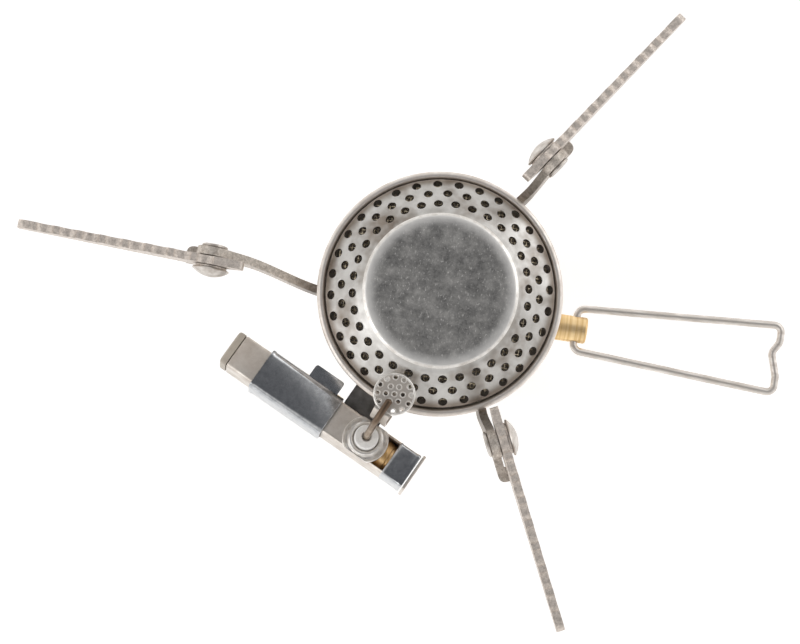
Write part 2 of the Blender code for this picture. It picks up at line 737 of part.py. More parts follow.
def jet_and_tube(brass, steel):
    """The gas jet on the valve's neck, and the tube that mixes its gas with air."""
    hex_start = NECK_TOP + CONTACT_GAP
    jet = piece("gas_jet", hexagon_mesh("gas_jet", JET_HEX_ACROSS_FLATS, hex_start, JET_TOP), brass)
    thread_bottom = NECK_TOP - JET_THREAD_LENGTH
    thread = rod_mesh(
        "jet_root", JET_THREAD_RADIUS, (0, 0, thread_bottom), (0, 0, hex_start + SEAT_OVERLAP), 16
    )
    boolean(jet, tool("jet_root", thread), "UNION")
    low, high = (0, 0, thread_bottom - CUT_MARGIN), (0, 0, JET_TOP + CUT_MARGIN)
    cut_rod(jet, "jet_orifice", JET_ORIFICE_RADIUS, low, high, sides=8)

    bore = TUBE_RADIUS - TUBE_WALL
    shoulder_bottom = SHOULDER_TOP - TUBE_SHOULDER_THICKNESS
    tube_bottom = TOWER_TOP + CONTACT_GAP
    tube = turned(
        "mixing_tube",
        [
            (TUBE_RADIUS, TUBE_TOP),
            (TUBE_RADIUS, SHOULDER_TOP),
            (TUBE_SHOULDER_RADIUS, SHOULDER_TOP),
            (TUBE_SHOULDER_RADIUS, shoulder_bottom),
            (TUBE_RADIUS, shoulder_bottom),
            (TUBE_RADIUS, tube_bottom),
            (bore, tube_bottom),
            (bore, TUBE_TOP),
        ],
        steel,
        closed=True,
    )
    hole_height = JET_TOP + AIR_HOLE_ABOVE_JET
    bm = bmesh.new()
    for i in range(AIR_HOLE_COUNT):
        angle = 2 * math.pi * (i + 0.5) / AIR_HOLE_COUNT
        outward = Vector((math.cos(angle), math.sin(angle), 0))
        start = outward * (bore - CUT_MARGIN) + Vector((0, 0, hole_height))
        end = outward * (TUBE_RADIUS + CUT_MARGIN) + Vector((0, 0, hole_height))
        add_rod(bm, AIR_HOLE_RADIUS, start, end, 10)
    boolean(tube, tool("air_holes", finish_mesh("air_holes", bm)))


def foot_rivet_places():
    """Where rivets go through the hub: one for each support, and one for the igniter's stay."""
    places = []
    for name, direction, _, _, root_side in ARMS:
        side = root_side - BRACKET_THICKNESS / 2 - FOOT_RIVET_HEAD_RADIUS - CONTACT_GAP
        place_in_arm = Vector((FOOT_START + FOOT_LENGTH / 2, side, 0))
        places.append((f"foot_rivet_{name}", Matrix.Rotation(direction, 3, "Z") @ place_in_arm))
    stay_place = Vector((0, -(FOOT_START + FOOT_LENGTH / 2), 0))
    places.append(("foot_rivet_igniter", Matrix.Rotation(IGNITER_ANGLE, 3, "Z") @ stay_place))
    return places


def hub_and_rivets(steel):
    """The ring clamped under the cup, which carries the supports and the igniter."""
    hub = turned(
        "support_hub",
        ring_profile(CLAMP_HOLE_RADIUS, HUB_RADIUS, HUB_BOTTOM, HUB_TOP),
        steel,
        steps=32,
        closed=True,
    )
    bm = bmesh.new()
    for name, place_on_hub in foot_rivet_places():
        thickness = STAY_THICKNESS if name.endswith("igniter") else FOOT_THICKNESS
        head_top = SHOULDER_TOP - thickness - CONTACT_GAP
        head_bottom = head_top - FOOT_RIVET_HEAD_HEIGHT
        turned(
            name,
            [
                (0, HUB_TOP),
                (FOOT_RIVET_RADIUS, HUB_TOP),
                (FOOT_RIVET_RADIUS, head_top),
                (FOOT_RIVET_HEAD_RADIUS, head_top),
                (FOOT_RIVET_HEAD_RADIUS * FOOT_RIVET_HEAD_TAPER, head_bottom),
                (0, head_bottom),
            ],
            steel,
            steps=16,
            location=place_on_hub,
        )
        add_rivet_hole(bm, place_on_hub)
    boolean(hub, tool("hub_holes", finish_mesh("hub_holes", bm)))


def add_rivet_hole(bm, place_on_hub):
    low = Vector((place_on_hub.x, place_on_hub.y, SHOULDER_TOP - FOOT_THICKNESS - CUT_MARGIN))
    high = Vector((place_on_hub.x, place_on_hub.y, HUB_TOP + CUT_MARGIN))
    add_rod(bm, FOOT_RIVET_RADIUS + RUNNING_GAP, low, high, 12)


def burner_cup(steel):
    """The spun cup below the burner plate, with a bead rolled round its rim, and its nut."""
    bead_centre = (RIM_RADIUS - BEAD_RADIUS, RIM_TOP - BEAD_RADIUS)
    floor_top = CUP_BOTTOM + CUP_SHEET
    wall_lean = math.atan2(
        RIM_RADIUS - BEAD_RADIUS - CUP_FLOOR_RADIUS, CUP_DEPTH - 2 * BEAD_RADIUS
    )
    wall_shift = CUP_SHEET * math.tan((HALF_PI - wall_lean) / 2)
    bead = arc(bead_centre, BEAD_RADIUS, math.radians(190), math.radians(-100), 8)
    turned(
        "burner_cup",
        bead
        + [
            (CUP_FLOOR_RADIUS, CUP_BOTTOM),
            (CLAMP_HOLE_RADIUS, CUP_BOTTOM),
            (CLAMP_HOLE_RADIUS, floor_top),
            (CUP_FLOOR_RADIUS - wall_shift, floor_top),
        ],
        steel,
        steps=48,
        closed=True,
    )
    nut_top = NUT_BOTTOM + NUT_HEIGHT
    nut = piece("cup_nut", hexagon_mesh("cup_nut", NUT_ACROSS_FLATS, NUT_BOTTOM, nut_top), steel)
    low, high = (0, 0, NUT_BOTTOM - CUT_MARGIN), (0, 0, nut_top + CUT_MARGIN)
    cut_rod(nut, "nut_bore", CLAMP_HOLE_RADIUS, low, high, sides=32)


def cone_height(radius):
    """The height of the plate's perforated cone at a distance from the axis."""
    return CONE_EDGE_HEIGHT + (SKIRT_RADIUS - radius) * math.tan(CONE_SLOPE)


def thin_shell(name, points, thickness, finish, steps):
    """A turned open surface, thickened inwards."""
    shell = turned(name, points, finish, steps=steps)
    solidify = shell.modifiers.new("sheet", "SOLIDIFY")
    solidify.thickness = thickness
    solidify.offset = -1.0
    return shell


def burner_plate(steel):
    """One stamping: a skirt in the cup's rim, a perforated cone, and a dished centre disc."""
    centre_height = CONE_TOP_HEIGHT + CENTRE_RISE
    edge_round = (CONE_TOP_RADIUS + CENTRE_RADIUS) / 2
    plate = thin_shell(
        "burner_plate",
        [
            (0, centre_height - CENTRE_DISH),
            (CENTRE_RADIUS / 2, centre_height - CENTRE_DISH_HALFWAY),
            (CENTRE_FLAT_RADIUS, centre_height - CENTRE_DISH_AT_EDGE),
            (CENTRE_RADIUS, centre_height - CENTRE_EDGE_DROP),
            (edge_round, CONE_TOP_HEIGHT + CENTRE_EDGE_RISE),
            (CONE_TOP_RADIUS, CONE_TOP_HEIGHT),
            (SKIRT_RADIUS, CONE_EDGE_HEIGHT),
            (SKIRT_RADIUS, RIM_TOP - PLATE_SKIRT_DEPTH),
        ],
        PLATE_SHEET,
        steel,
        steps=48,
    )
    bm = bmesh.new()
    through = Vector((math.sin(CONE_SLOPE), math.cos(CONE_SLOPE))) * (PLATE_SHEET + CUT_MARGIN)
    pitch = 2 * math.pi / FLAME_HOLES_PER_ROW
    for row, inset in enumerate(FLAME_ROW_INSETS):
        radius = RIM_RADIUS - inset
        for i in range(FLAME_HOLES_PER_ROW):
            angle = FLAME_HOLE_START + pitch * (i + 0.5 * (row % 2))
            around = Vector((math.cos(angle), math.sin(angle), 0))
            outer = around * (radius + through.x)
            inner = around * (radius - through.x)
            outer.z = cone_height(radius) + through.y
            inner.z = cone_height(radius) - through.y
            add_rod(bm, FLAME_HOLE_RADIUS, inner, outer, 6)
    boolean(plate, tool("flame_holes", finish_mesh("flame_holes", bm)))


def gauze_ring(mesh_steel):
    """The fine gauze under the flame holes, as one plain ring."""
    inner = CONE_TOP_RADIUS + PLATE_SHEET
    outer = SKIRT_RADIUS - 2 * PLATE_SHEET - CONTACT_GAP
    thin_shell(
        "gauze_ring",
        [(inner, cone_height(inner) - GAUZE_DEPTH), (outer, cone_height(outer) - GAUZE_DEPTH)],
        GAUZE_THICKNESS,
        mesh_steel,
        steps=32,
    )


# ---------------------------------------------------------------- pot supports


def bracket_outline(reach):
    """A bracket's side view: along under the cup, up past the rim, round the rivet and out to the hook."""
    half = BRACKET_HALF_DEPTH
    level = SHOULDER_TOP - SEAT_OVERLAP - half
    knee, pivot = Vector((BRACKET_KNEE_REACH, level)), Vector((reach, PIVOT_HEIGHT))
    rise = (pivot - knee).normalized()
    left = Vector((-rise.y, rise.x))
    mitre = half * math.tan(math.atan2(rise.y, rise.x) / 2)
    hook_top = PIVOT_HEIGHT - BLADE_ROOT_BELOW - CONTACT_GAP
    hook_bottom = hook_top - HOOK_THICKNESS
    lower_start = knee - left * half
    hook_meets = lower_start + rise * ((hook_bottom - lower_start.y) / rise.y)
    eye_end = math.atan2(left.y, left.x)
    return [
        (FOOT_START, level - half),
        (knee.x + mitre, level - half),
        tuple(hook_meets),
        (reach + HOOK_END, hook_bottom),
        (reach + HOOK_END, hook_top),
        *arc(pivot, BRACKET_EYE_RADIUS, BRACKET_EYE_START, eye_end, 10),
        tuple(pivot - rise * 2 * half + left * half),
        (knee.x - mitre, level + half),
        (FOOT_START, level + half),
    ]


def bracket_side(reach, jog_start, root_side, x):
    """The side offset of a bracket's middle, which jogs from its root to its place at the rivet."""
    jog_end = reach - JOG_END_BEFORE_PIVOT
    share = min(max((x - jog_start) / (jog_end - jog_start), 0.0), 1.0)
    return root_side + (BRACKET_SIDE - root_side) * share


def support_bracket(name, steel, frame, arm):
    """A fixed strip on edge, with a foot riveted under the hub and a hook under its blade."""
    _, _, reach, jog_start, root_side = arm
    rivet_hole = arc((reach, PIVOT_HEIGHT), RIVET_RADIUS + RUNNING_GAP, 0, 2 * math.pi, 16)[:-1]
    curve = flat_curve(name, [bracket_outline(reach), rivet_hole], BRACKET_THICKNESS)
    mesh = mesh_of_curve(name, curve, UPRIGHT)
    bm = bmesh.new()
    bm.from_mesh(mesh)
    for x in (jog_start, reach - JOG_END_BEFORE_PIVOT):
        everything = bm.verts[:] + bm.edges[:] + bm.faces[:]
        bmesh.ops.bisect_plane(bm, geom=everything, plane_co=(x, 0, 0), plane_no=(1, 0, 0))
    for vertex in bm.verts:
        vertex.co.y += bracket_side(reach, jog_start, root_side, vertex.co.x)
    bm.to_mesh(mesh)
    bm.free()
    bracket = piece(name, mesh, steel, parent=frame)

    hook_top = PIVOT_HEIGHT - BLADE_ROOT_BELOW - CONTACT_GAP
    hook = box_mesh(
        f"{name}_hook",
        (reach + HOOK_START, BRACKET_SIDE, hook_top - HOOK_THICKNESS),
        (reach + HOOK_END, BLADE_OUTER_SIDE, hook_top),
    )
    boolean(bracket, tool(f"{name}_hook", hook, parent=frame), "UNION")
    foot_left = root_side + BRACKET_THICKNESS / 2
    foot = box_mesh(
        f"{name}_foot",
        (FOOT_START, foot_left - FOOT_WIDTH, SHOULDER_TOP - FOOT_THICKNESS),
        (FOOT_START + FOOT_LENGTH, foot_left - SEAT_OVERLAP / 2, SHOULDER_TOP),
    )
    boolean(bracket, tool(f"{name}_foot", foot, parent=frame), "UNION")
    bm = bmesh.new()
    add_rivet_hole(bm, dict(foot_rivet_places())[f"foot_rivet_{arm[0]}"])
    boolean(bracket, tool(f"{name}_foot_hole", finish_mesh(f"{name}_foot_hole", bm)))


def blade_outline():
    """A blade's side view about its rivet: teeth and scallops on top, a tapered lower edge, a short heel."""
    top = BLADE_TOP
    round_end = BLADE_TIP_ROUND
    outline = [(BLADE_REACH, BLADE_TIP_ABOVE)]
    corner = (BLADE_REACH - round_end, top - round_end)
    outline += arc(corner, round_end, 0, HALF_PI, 4)
    first_tooth = BLADE_REACH - round_end - TIP_LAND - SCALLOP_WIDTH - TOOTH_WIDTH / 2
    lands = [first_tooth - i * TOOTH_PITCH for i in range(TOOTH_COUNT)]
    gap_starts = [BLADE_REACH - round_end - TIP_LAND] + [x - TOOTH_WIDTH / 2 for x in lands]
    gap_ends = [x + TOOTH_WIDTH / 2 for x in lands] + [lands[-1] - TOOTH_WIDTH / 2 - SCALLOP_WIDTH]
    for start, end in zip(gap_starts, gap_ends):
        outline += scallop(start, end, top)
    heel_corner = (-BLADE_HEEL + BLADE_HEEL_ROUND, top - BLADE_HEEL_ROUND)
    outline += arc(heel_corner, BLADE_HEEL_ROUND, HALF_PI, math.pi, 3)
    outline += [(-BLADE_HEEL, top / 2)]
    outline += arc((0, 0), BLADE_ROOT_BELOW, BLADE_HEEL_START, -HALF_PI, 3)
    outline += [(HOOK_END + BLADE_TAPER_AFTER_HOOK, -BLADE_ROOT_BELOW)]
    return outline


def scallop(start, end, top):
    """A shallow arc sunk into the top edge, from one tooth to the next."""
    half = (start - end) / 2
    radius = (half * half + SCALLOP_DEPTH * SCALLOP_DEPTH) / (2 * SCALLOP_DEPTH)
    centre = ((start + end) / 2, top + radius - SCALLOP_DEPTH)
    spread = math.asin(half / radius)
    return arc(centre, radius, -HALF_PI + spread, -HALF_PI - spread, 4)


def pot_support(steel, bracket_steel, arm):
    """One arm: its bracket, the blade that folds on it, and the rivet and washer that join them."""
    name, direction, reach, _, _ = arm
    frame = empty(f"{name}_arm_frame", rotation=(0, 0, direction))
    support_bracket(f"bracket_{name}", bracket_steel, frame, arm)
    pivot = empty(f"{name}_pivot", parent=frame, location=(reach, 0, PIVOT_HEIGHT))
    rivet_hole = arc((0, 0), RIVET_RADIUS + RUNNING_GAP, 0, 2 * math.pi, 16)[:-1]
    blade = flat_curve(f"blade_{name}", [blade_outline(), rivet_hole], BLADE_THICKNESS)
    piece(
        f"blade_{name}",
        blade,
        steel,
        parent=pivot,
        location=(0, BLADE_SIDE, 0),
        rotation=(HALF_PI, 0, 0),
    )
    turned(
        f"blade_rivet_{name}", rivet_profile(), steel, steps=16, parent=pivot, rotation=ALONG_Y
    )
    turned(
        f"spring_washer_{name}",
        ring_profile(
            RIVET_RADIUS + RUNNING_GAP, WASHER_RADIUS, WASHER_START, WASHER_START + WASHER_THICKNESS
        ),
        steel,
        steps=16,
        closed=True,
        parent=pivot,
        rotation=ALONG_Y,
    )


def rivet_profile():
    """A domed head, the shank, and a flat head, from the dome's crown down."""
    edge = RIVET_DOME_HEIGHT / 4
    sagitta = RIVET_DOME_HEIGHT - edge
    sphere = (RIVET_DOME_RADIUS**2 + sagitta**2) / (2 * sagitta)
    crown = DOME_START + RIVET_DOME_HEIGHT
    spread = math.asin(RIVET_DOME_RADIUS / sphere)
    dome = arc((0, crown - sphere), sphere, HALF_PI, HALF_PI - spread, 3)
    flat_start = FLAT_HEAD_END - RIVET_FLAT_HEIGHT
    return [
        (0, crown),
        *dome[1:],
        (RIVET_DOME_RADIUS, DOME_START),
        (RIVET_RADIUS, DOME_START),
        (RIVET_RADIUS, FLAT_HEAD_END),
        (RIVET_FLAT_RADIUS, FLAT_HEAD_END),
        (RIVET_FLAT_RADIUS, flat_start),
        (0, flat_start),
    ]


# ---------------------------------------------------------------- igniter


def tube_between(name, width, height, wall, start, end, finish, frame):
    """A square tube along X, open at both ends."""
    size = Vector((end - start, width, height)) / 2
    middle = Vector(((start + end) / 2, 0, 0))
    tube = piece(name, box_mesh(name, middle - size, middle + size), finish, parent=frame)
    bevel = tube.modifiers.new("corners", "BEVEL")
    bevel.width = wall
    bevel.segments = 2
    inner = size - Vector((-CUT_MARGIN, wall, wall))
    bore = box_mesh(f"{name}_bore", middle - inner, middle + inner)
    boolean(tube, tool(f"{name}_bore", bore, parent=frame))
    return tube


def igniter_housing(steel, frame):
    """The inner channel: it holds the piezo cylinder, and its closed end has a lip."""
    half_width, half_height = HOUSING_WIDTH / 2, HOUSING_HEIGHT / 2
    housing = tube_between(
        "igniter_housing",
        HOUSING_WIDTH,
        HOUSING_HEIGHT,
        HOUSING_WALL,
        HOUSING_START,
        HOUSING_END,
        steel,
        frame,
    )
    boss_bottom = half_height - HOUSING_WALL / 2
    boss = rod_mesh(
        "boss",
        BOSS_RADIUS,
        (BOSS_ALONG, 0, boss_bottom),
        (BOSS_ALONG, 0, half_height + BOSS_HEIGHT),
        32,
    )
    boolean(housing, tool("boss", boss, parent=frame), "UNION")
    cut_rod(
        housing,
        "boss_hole",
        CERAMIC_RADIUS + CONTACT_GAP,
        (BOSS_ALONG, 0, half_height - HOUSING_WALL - CUT_MARGIN),
        (BOSS_ALONG, 0, half_height + BOSS_HEIGHT + CUT_MARGIN),
        parent=frame,
    )
    boolean(housing, tool("window", window_mesh(), parent=frame))
    screw_start, screw_end = half_width - HOUSING_WALL - CUT_MARGIN, half_width + CUT_MARGIN
    x, z = screw_place()
    cut_rod(
        housing,
        "housing_screw_hole",
        SCREW_RADIUS + RUNNING_GAP,
        (x, screw_start, z),
        (x, screw_end, z),
        parent=frame,
        sides=12,
    )
    lip_y, lip_z = half_width + HOUSING_CAP_LIP, half_height + HOUSING_CAP_LIP
    cap_start = HOUSING_END + CONTACT_GAP
    piece(
        "igniter_end_cap",
        box_mesh(
            "igniter_end_cap",
            (cap_start, -lip_y, -lip_z),
            (cap_start + HOUSING_CAP_THICKNESS, lip_y, lip_z),
        ),
        steel,
        parent=frame,
    )
    return housing


def window_mesh():
    """The cut in the housing's top between the boss and the end, which shows the piezo cylinder."""
    half = HOUSING_WIDTH / 2 - HOUSING_WALL
    spread = math.asin(half / WINDOW_ARC_RADIUS)
    outline = [(WINDOW_END, -half), (WINDOW_END, half)]
    outline += arc((BOSS_ALONG, 0), WINDOW_ARC_RADIUS, spread, -spread, 8)
    curve = flat_curve("window", [outline], HOUSING_WALL + 2 * CUT_MARGIN)
    height = HOUSING_HEIGHT / 2 - HOUSING_WALL / 2 + CUT_MARGIN / 2
    return mesh_of_curve("window", curve, Matrix.Translation((0, 0, height)))


def screw_place():
    """Where the screw joins the stay's flange to the housing, along and up."""
    return (COVER_END + STAY_WIDTH / 2 + CONTACT_GAP, -SCREW_BELOW_MIDDLE)


def igniter_cover(steel, frame):
    """The outer sleeve that the button slides in, with an ear on the side near the burner."""
    width = HOUSING_WIDTH + 2 * (RUNNING_GAP + COVER_WALL)
    height = HOUSING_HEIGHT + 2 * (RUNNING_GAP + COVER_WALL)
    cover = tube_between(
        "igniter_cover", width, height, COVER_WALL, COVER_START, COVER_END, steel, frame
    )
    ear_top = height / 2 - COVER_WALL
    ear = box_mesh(
        "ear",
        (EAR_START, width / 2 - COVER_WALL / 2, ear_top - COVER_WALL),
        (EAR_END, width / 2 + EAR_REACH, ear_top),
    )
    boolean(cover, tool("ear", ear, parent=frame), "UNION")


def igniter_button(steel, plastic, frame):
    """The sleeve and the pad that the thumb pushes, which slide together."""
    sleeve_end = HOUSING_START - BUTTON_TRAVEL - 2 * CONTACT_GAP
    button = empty("igniter_button_frame", parent=frame, location=(BUTTON_SLEEVE_START, 0, 0))
    tube_between(
        "button_sleeve",
        HOUSING_WIDTH,
        HOUSING_HEIGHT,
        BUTTON_SLEEVE_WALL,
        0,
        sleeve_end - BUTTON_SLEEVE_START,
        steel,
        button,
    )
    half_y, half_z = HOUSING_WIDTH / 2, HOUSING_HEIGHT / 2
    pad = piece(
        "igniter_button",
        box_mesh(
            "igniter_button",
            (-BUTTON_PAD_THICKNESS - CONTACT_GAP, -half_y, -half_z),
            (-CONTACT_GAP, half_y, half_z),
        ),
        plastic,
        parent=button,
    )
    bevel = pad.modifiers.new("edges", "BEVEL")
    bevel.width = BUTTON_EDGE_RADIUS
    bevel.segments = 2
    inset = BUTTON_SLEEVE_WALL + CONTACT_GAP
    plug = box_mesh(
        "button_plug",
        (-CONTACT_GAP - SEAT_OVERLAP, inset - half_y, inset - half_z),
        (BUTTON_PLUG_LENGTH, half_y - inset, half_z - inset),
    )
    boolean(pad, tool("button_plug", plug, parent=button), "UNION")


def piezo_and_spring(brass, steel, frame):
    """The piezo cylinder in the housing, and the spring that returns the button."""
    turned(
        "piezo_cylinder",
        [
            (0, HOUSING_END - CONTACT_GAP),
            (PIEZO_RADIUS, HOUSING_END - CONTACT_GAP),
            (PIEZO_RADIUS, PIEZO_START),
            (STRIKER_RADIUS, PIEZO_START),
            (STRIKER_RADIUS, PIEZO_START - STRIKER_LENGTH),
            (0, PIEZO_START - STRIKER_LENGTH),
        ],
        brass,
        steps=24,
        parent=frame,
        rotation=ALONG_X,
    )
    start = BUTTON_SLEEVE_START + BUTTON_PLUG_LENGTH + CONTACT_GAP + SPRING_WIRE_RADIUS
    end = PIEZO_START - CONTACT_GAP - SPRING_WIRE_RADIUS
    steps_per_turn = 8
    coil = []
    for i in range(SPRING_TURNS * steps_per_turn + 1):
        angle = 2 * math.pi * i / steps_per_turn
        along = start + (end - start) * i / (SPRING_TURNS * steps_per_turn)
        coil.append((along, SPRING_RADIUS * math.cos(angle), SPRING_RADIUS * math.sin(angle)))
    wire("button_spring", coil, SPRING_WIRE_RADIUS, steel, parent=frame)


def insulator(ceramic, steel, frame):
    """The ceramic sleeve that carries the spark, standing in a collar on the housing's boss."""
    bottom = HOUSING_HEIGHT / 2 - HOUSING_WALL
    boss_top = HOUSING_HEIGHT / 2 + BOSS_HEIGHT
    top = boss_top + CERAMIC_HEIGHT
    bore = ELECTRODE_RADIUS + CONTACT_GAP
    place_on_boss = (BOSS_ALONG, 0, 0)
    turned(
        "ceramic_insulator",
        [
            (CERAMIC_RADIUS - CERAMIC_EDGE, top),
            (CERAMIC_RADIUS, top - CERAMIC_EDGE),
            (CERAMIC_RADIUS, bottom),
            (bore, bottom),
            (bore, top),
        ],
        ceramic,
        steps=24,
        closed=True,
        parent=frame,
        location=place_on_boss,
    )
    collar_bottom = boss_top + CONTACT_GAP
    collar_top = collar_bottom + COLLAR_HEIGHT
    turned(
        "insulator_collar",
        ring_profile(CERAMIC_RADIUS + CONTACT_GAP, COLLAR_RADIUS, collar_bottom, collar_top),
        steel,
        steps=28,
        closed=True,
        parent=frame,
        location=place_on_boss,
    )


def leaning(along, side, up):
    """A point of the leaning housing, in the upright frame of the igniter."""
    lean = Matrix.Rotation(-IGNITER_LEAN, 3, "X")
    return lean @ Vector((along, side, up)) + Vector((0, -IGNITER_REACH, IGNITER_HEIGHT))


def electrode_and_spark_disc(wire_steel, steel, upright):
    """The live wire out of the ceramic, and the earthed disc over the rim that the spark jumps to."""
    ceramic_top = HOUSING_HEIGHT / 2 + BOSS_HEIGHT + CERAMIC_HEIGHT
    start = leaning(BOSS_ALONG, 0, HOUSING_HEIGHT / 2)
    out = leaning(BOSS_ALONG, 0, ceramic_top + ELECTRODE_RISE)
    tip_height = SPARK_DISC_HEIGHT + SPARK_SHEET / 2 + SPARK_GAP + ELECTRODE_RADIUS
    tip = Vector((BOSS_ALONG, -ELECTRODE_TIP_REACH, tip_height))
    disc_edge = SPARK_DISC_REACH + SPARK_DISC_RADIUS
    over = Vector((BOSS_ALONG, -disc_edge - ELECTRODE_BEND_BEFORE_DISC, tip_height - SPARK_GAP))
    path = rounded_path([start, out, over, tip], ELECTRODE_BEND_RADIUS, steps=5)
    wire("electrode_wire", path, ELECTRODE_RADIUS, wire_steel, parent=upright)

    half = SPARK_SHEET / 2
    disc_centre = Vector((BOSS_ALONG, -SPARK_DISC_REACH, SPARK_DISC_HEIGHT))
    plate = rod_mesh("spark_disc", SPARK_DISC_RADIUS, (0, 0, -half), (0, 0, half), 32)
    disc = piece("spark_disc", plate, steel, parent=upright, location=disc_centre)
    leg_reach = -leaning(0, HOUSING_WIDTH / 2 + CONTACT_GAP, HOUSING_HEIGHT / 2).y - SPARK_SHEET
    foot_height = SHOULDER_TOP + CONTACT_GAP + half
    bend_height = RIM_TOP + SPARK_NECK_BEND_ABOVE_RIM
    neck = [
        (-leg_reach + SPARK_FOOT_LENGTH, foot_height),
        (-leg_reach, foot_height),
        (-leg_reach, bend_height),
        (-SPARK_DISC_REACH - SPARK_DISC_RADIUS - SPARK_NECK_JOIN, SPARK_DISC_HEIGHT),
        (-SPARK_DISC_REACH - SPARK_DISC_RADIUS + SPARK_NECK_JOIN, SPARK_DISC_HEIGHT),
    ]
    strap = tool("spark_neck", strap_mesh("spark_neck", neck, SPARK_NECK_WIDTH), parent=upright)
    strap.location = (BOSS_ALONG, 0, 0)
    boolean(disc, strap, "UNION")
    bm = bmesh.new()
    for spot in spark_hole_places():
        low = disc_centre + spot.to_3d() - Vector((0, 0, SPARK_SHEET))
        high = disc_centre + spot.to_3d() + Vector((0, 0, SPARK_SHEET))
        add_rod(bm, SPARK_HOLE_RADIUS, low, high, 6)
    boolean(disc, tool("spark_holes", finish_mesh("spark_holes", bm), parent=upright))


def strap_mesh(name, path, width):
    """A bent strip: the path in the YZ plane, thickened to a flat outline and extruded along X."""
    points = rounded_path([(y, z, 0) for y, z in path], SPARK_NECK_BEND_RADIUS, steps=3)
    sides = []
    for i, point in enumerate(points):
        before, after = points[max(i - 1, 0)], points[min(i + 1, len(points) - 1)]
        heading = (after - before).normalized()
        sides.append(Vector((-heading.y, heading.x, 0)) * SPARK_NECK_SHEET / 2)
    outline = [p + s for p, s in zip(points, sides)]
    outline += [p - s for p, s in reversed(list(zip(points, sides)))]
    curve = flat_curve(name, [[(p.x, p.y) for p in outline]], width)
    stand = Matrix(((0, 0, 1, 0), (1, 0, 0, 0), (0, 1, 0, 0), (0, 0, 0, 1)))
    return mesh_of_curve(name, curve, stand)


def spark_hole_places():
    """Hole centres in rings round the disc's centre, six more in each ring than in the last."""
    places = [Vector((0, 0))]
    for ring in range(1, SPARK_HOLE_RINGS + 1):
        for i in range(6 * ring):
            angle = SPARK_HOLE_START + 2 * math.pi * i / (6 * ring)
            places.append(Vector((math.cos(angle), math.sin(angle))) * SPARK_HOLE_PITCH * ring)
    return places


def igniter_stay(dark_steel, steel, upright, frame):
    """The sheet stay from the hub to the housing, and the screw that holds the housing to it."""
    flange_start = HOUSING_WIDTH / 2 + CONTACT_GAP
    flange_end = flange_start + STAY_THICKNESS
    x_start = COVER_END + CONTACT_GAP
    x_end = x_start + STAY_WIDTH
    plate_end = leaning(0, (flange_start + flange_end) / 2, 0).y
    widening = -HUB_RADIUS
    outline = [
        (-STAY_ROOT_WIDTH / 2, -FOOT_START),
        (-STAY_ROOT_WIDTH / 2, widening),
        (x_start, widening - STAY_NEAR_SHOULDER),
        (x_start, plate_end),
        (x_end, plate_end),
        (x_end, widening - STAY_FAR_SHOULDER),
        (STAY_ROOT_WIDTH / 2, widening),
        (STAY_ROOT_WIDTH / 2, -FOOT_START),
    ]
    curve = flat_curve("igniter_stay", [outline], STAY_THICKNESS)
    lift = Matrix.Translation((0, 0, SHOULDER_TOP - STAY_THICKNESS / 2))
    stay = piece("igniter_stay", mesh_of_curve("igniter_stay", curve, lift), dark_steel, parent=upright)
    flange = box_mesh(
        "stay_flange",
        (x_start, flange_start, -STAY_FLANGE_HEIGHT),
        (x_end, flange_end, STAY_FLANGE_TOP),
    )
    boolean(stay, tool("stay_flange", flange, parent=frame), "UNION")
    bm = bmesh.new()
    add_rivet_hole(bm, dict(foot_rivet_places())["foot_rivet_igniter"])
    boolean(stay, tool("stay_rivet_hole", finish_mesh("stay_rivet_hole", bm)))
    x, z = screw_place()
    cut_rod(
        stay,
        "stay_screw_hole",
        SCREW_RADIUS + RUNNING_GAP,
        (x, flange_start - CUT_MARGIN, z),
        (x, flange_end + CUT_MARGIN, z),
        parent=frame,
        sides=12,
    )
    head_start = flange_end + CONTACT_GAP
    shank_end = HOUSING_WIDTH / 2 - HOUSING_WALL
    turned(
        "igniter_screw",
        [
            (0, head_start + SCREW_HEAD_HEIGHT),
            (SCREW_HEAD_RADIUS, head_start + SCREW_HEAD_HEIGHT),
            (SCREW_HEAD_RADIUS, head_start),
            (SCREW_RADIUS, head_start),
            (SCREW_RADIUS, shank_end),
            (0, shank_end),
        ],
        steel,
        steps=16,
        parent=frame,
        location=(x, 0, z),
        rotation=ALONG_Y,
    )


# ---------------------------------------------------------------- the whole stove


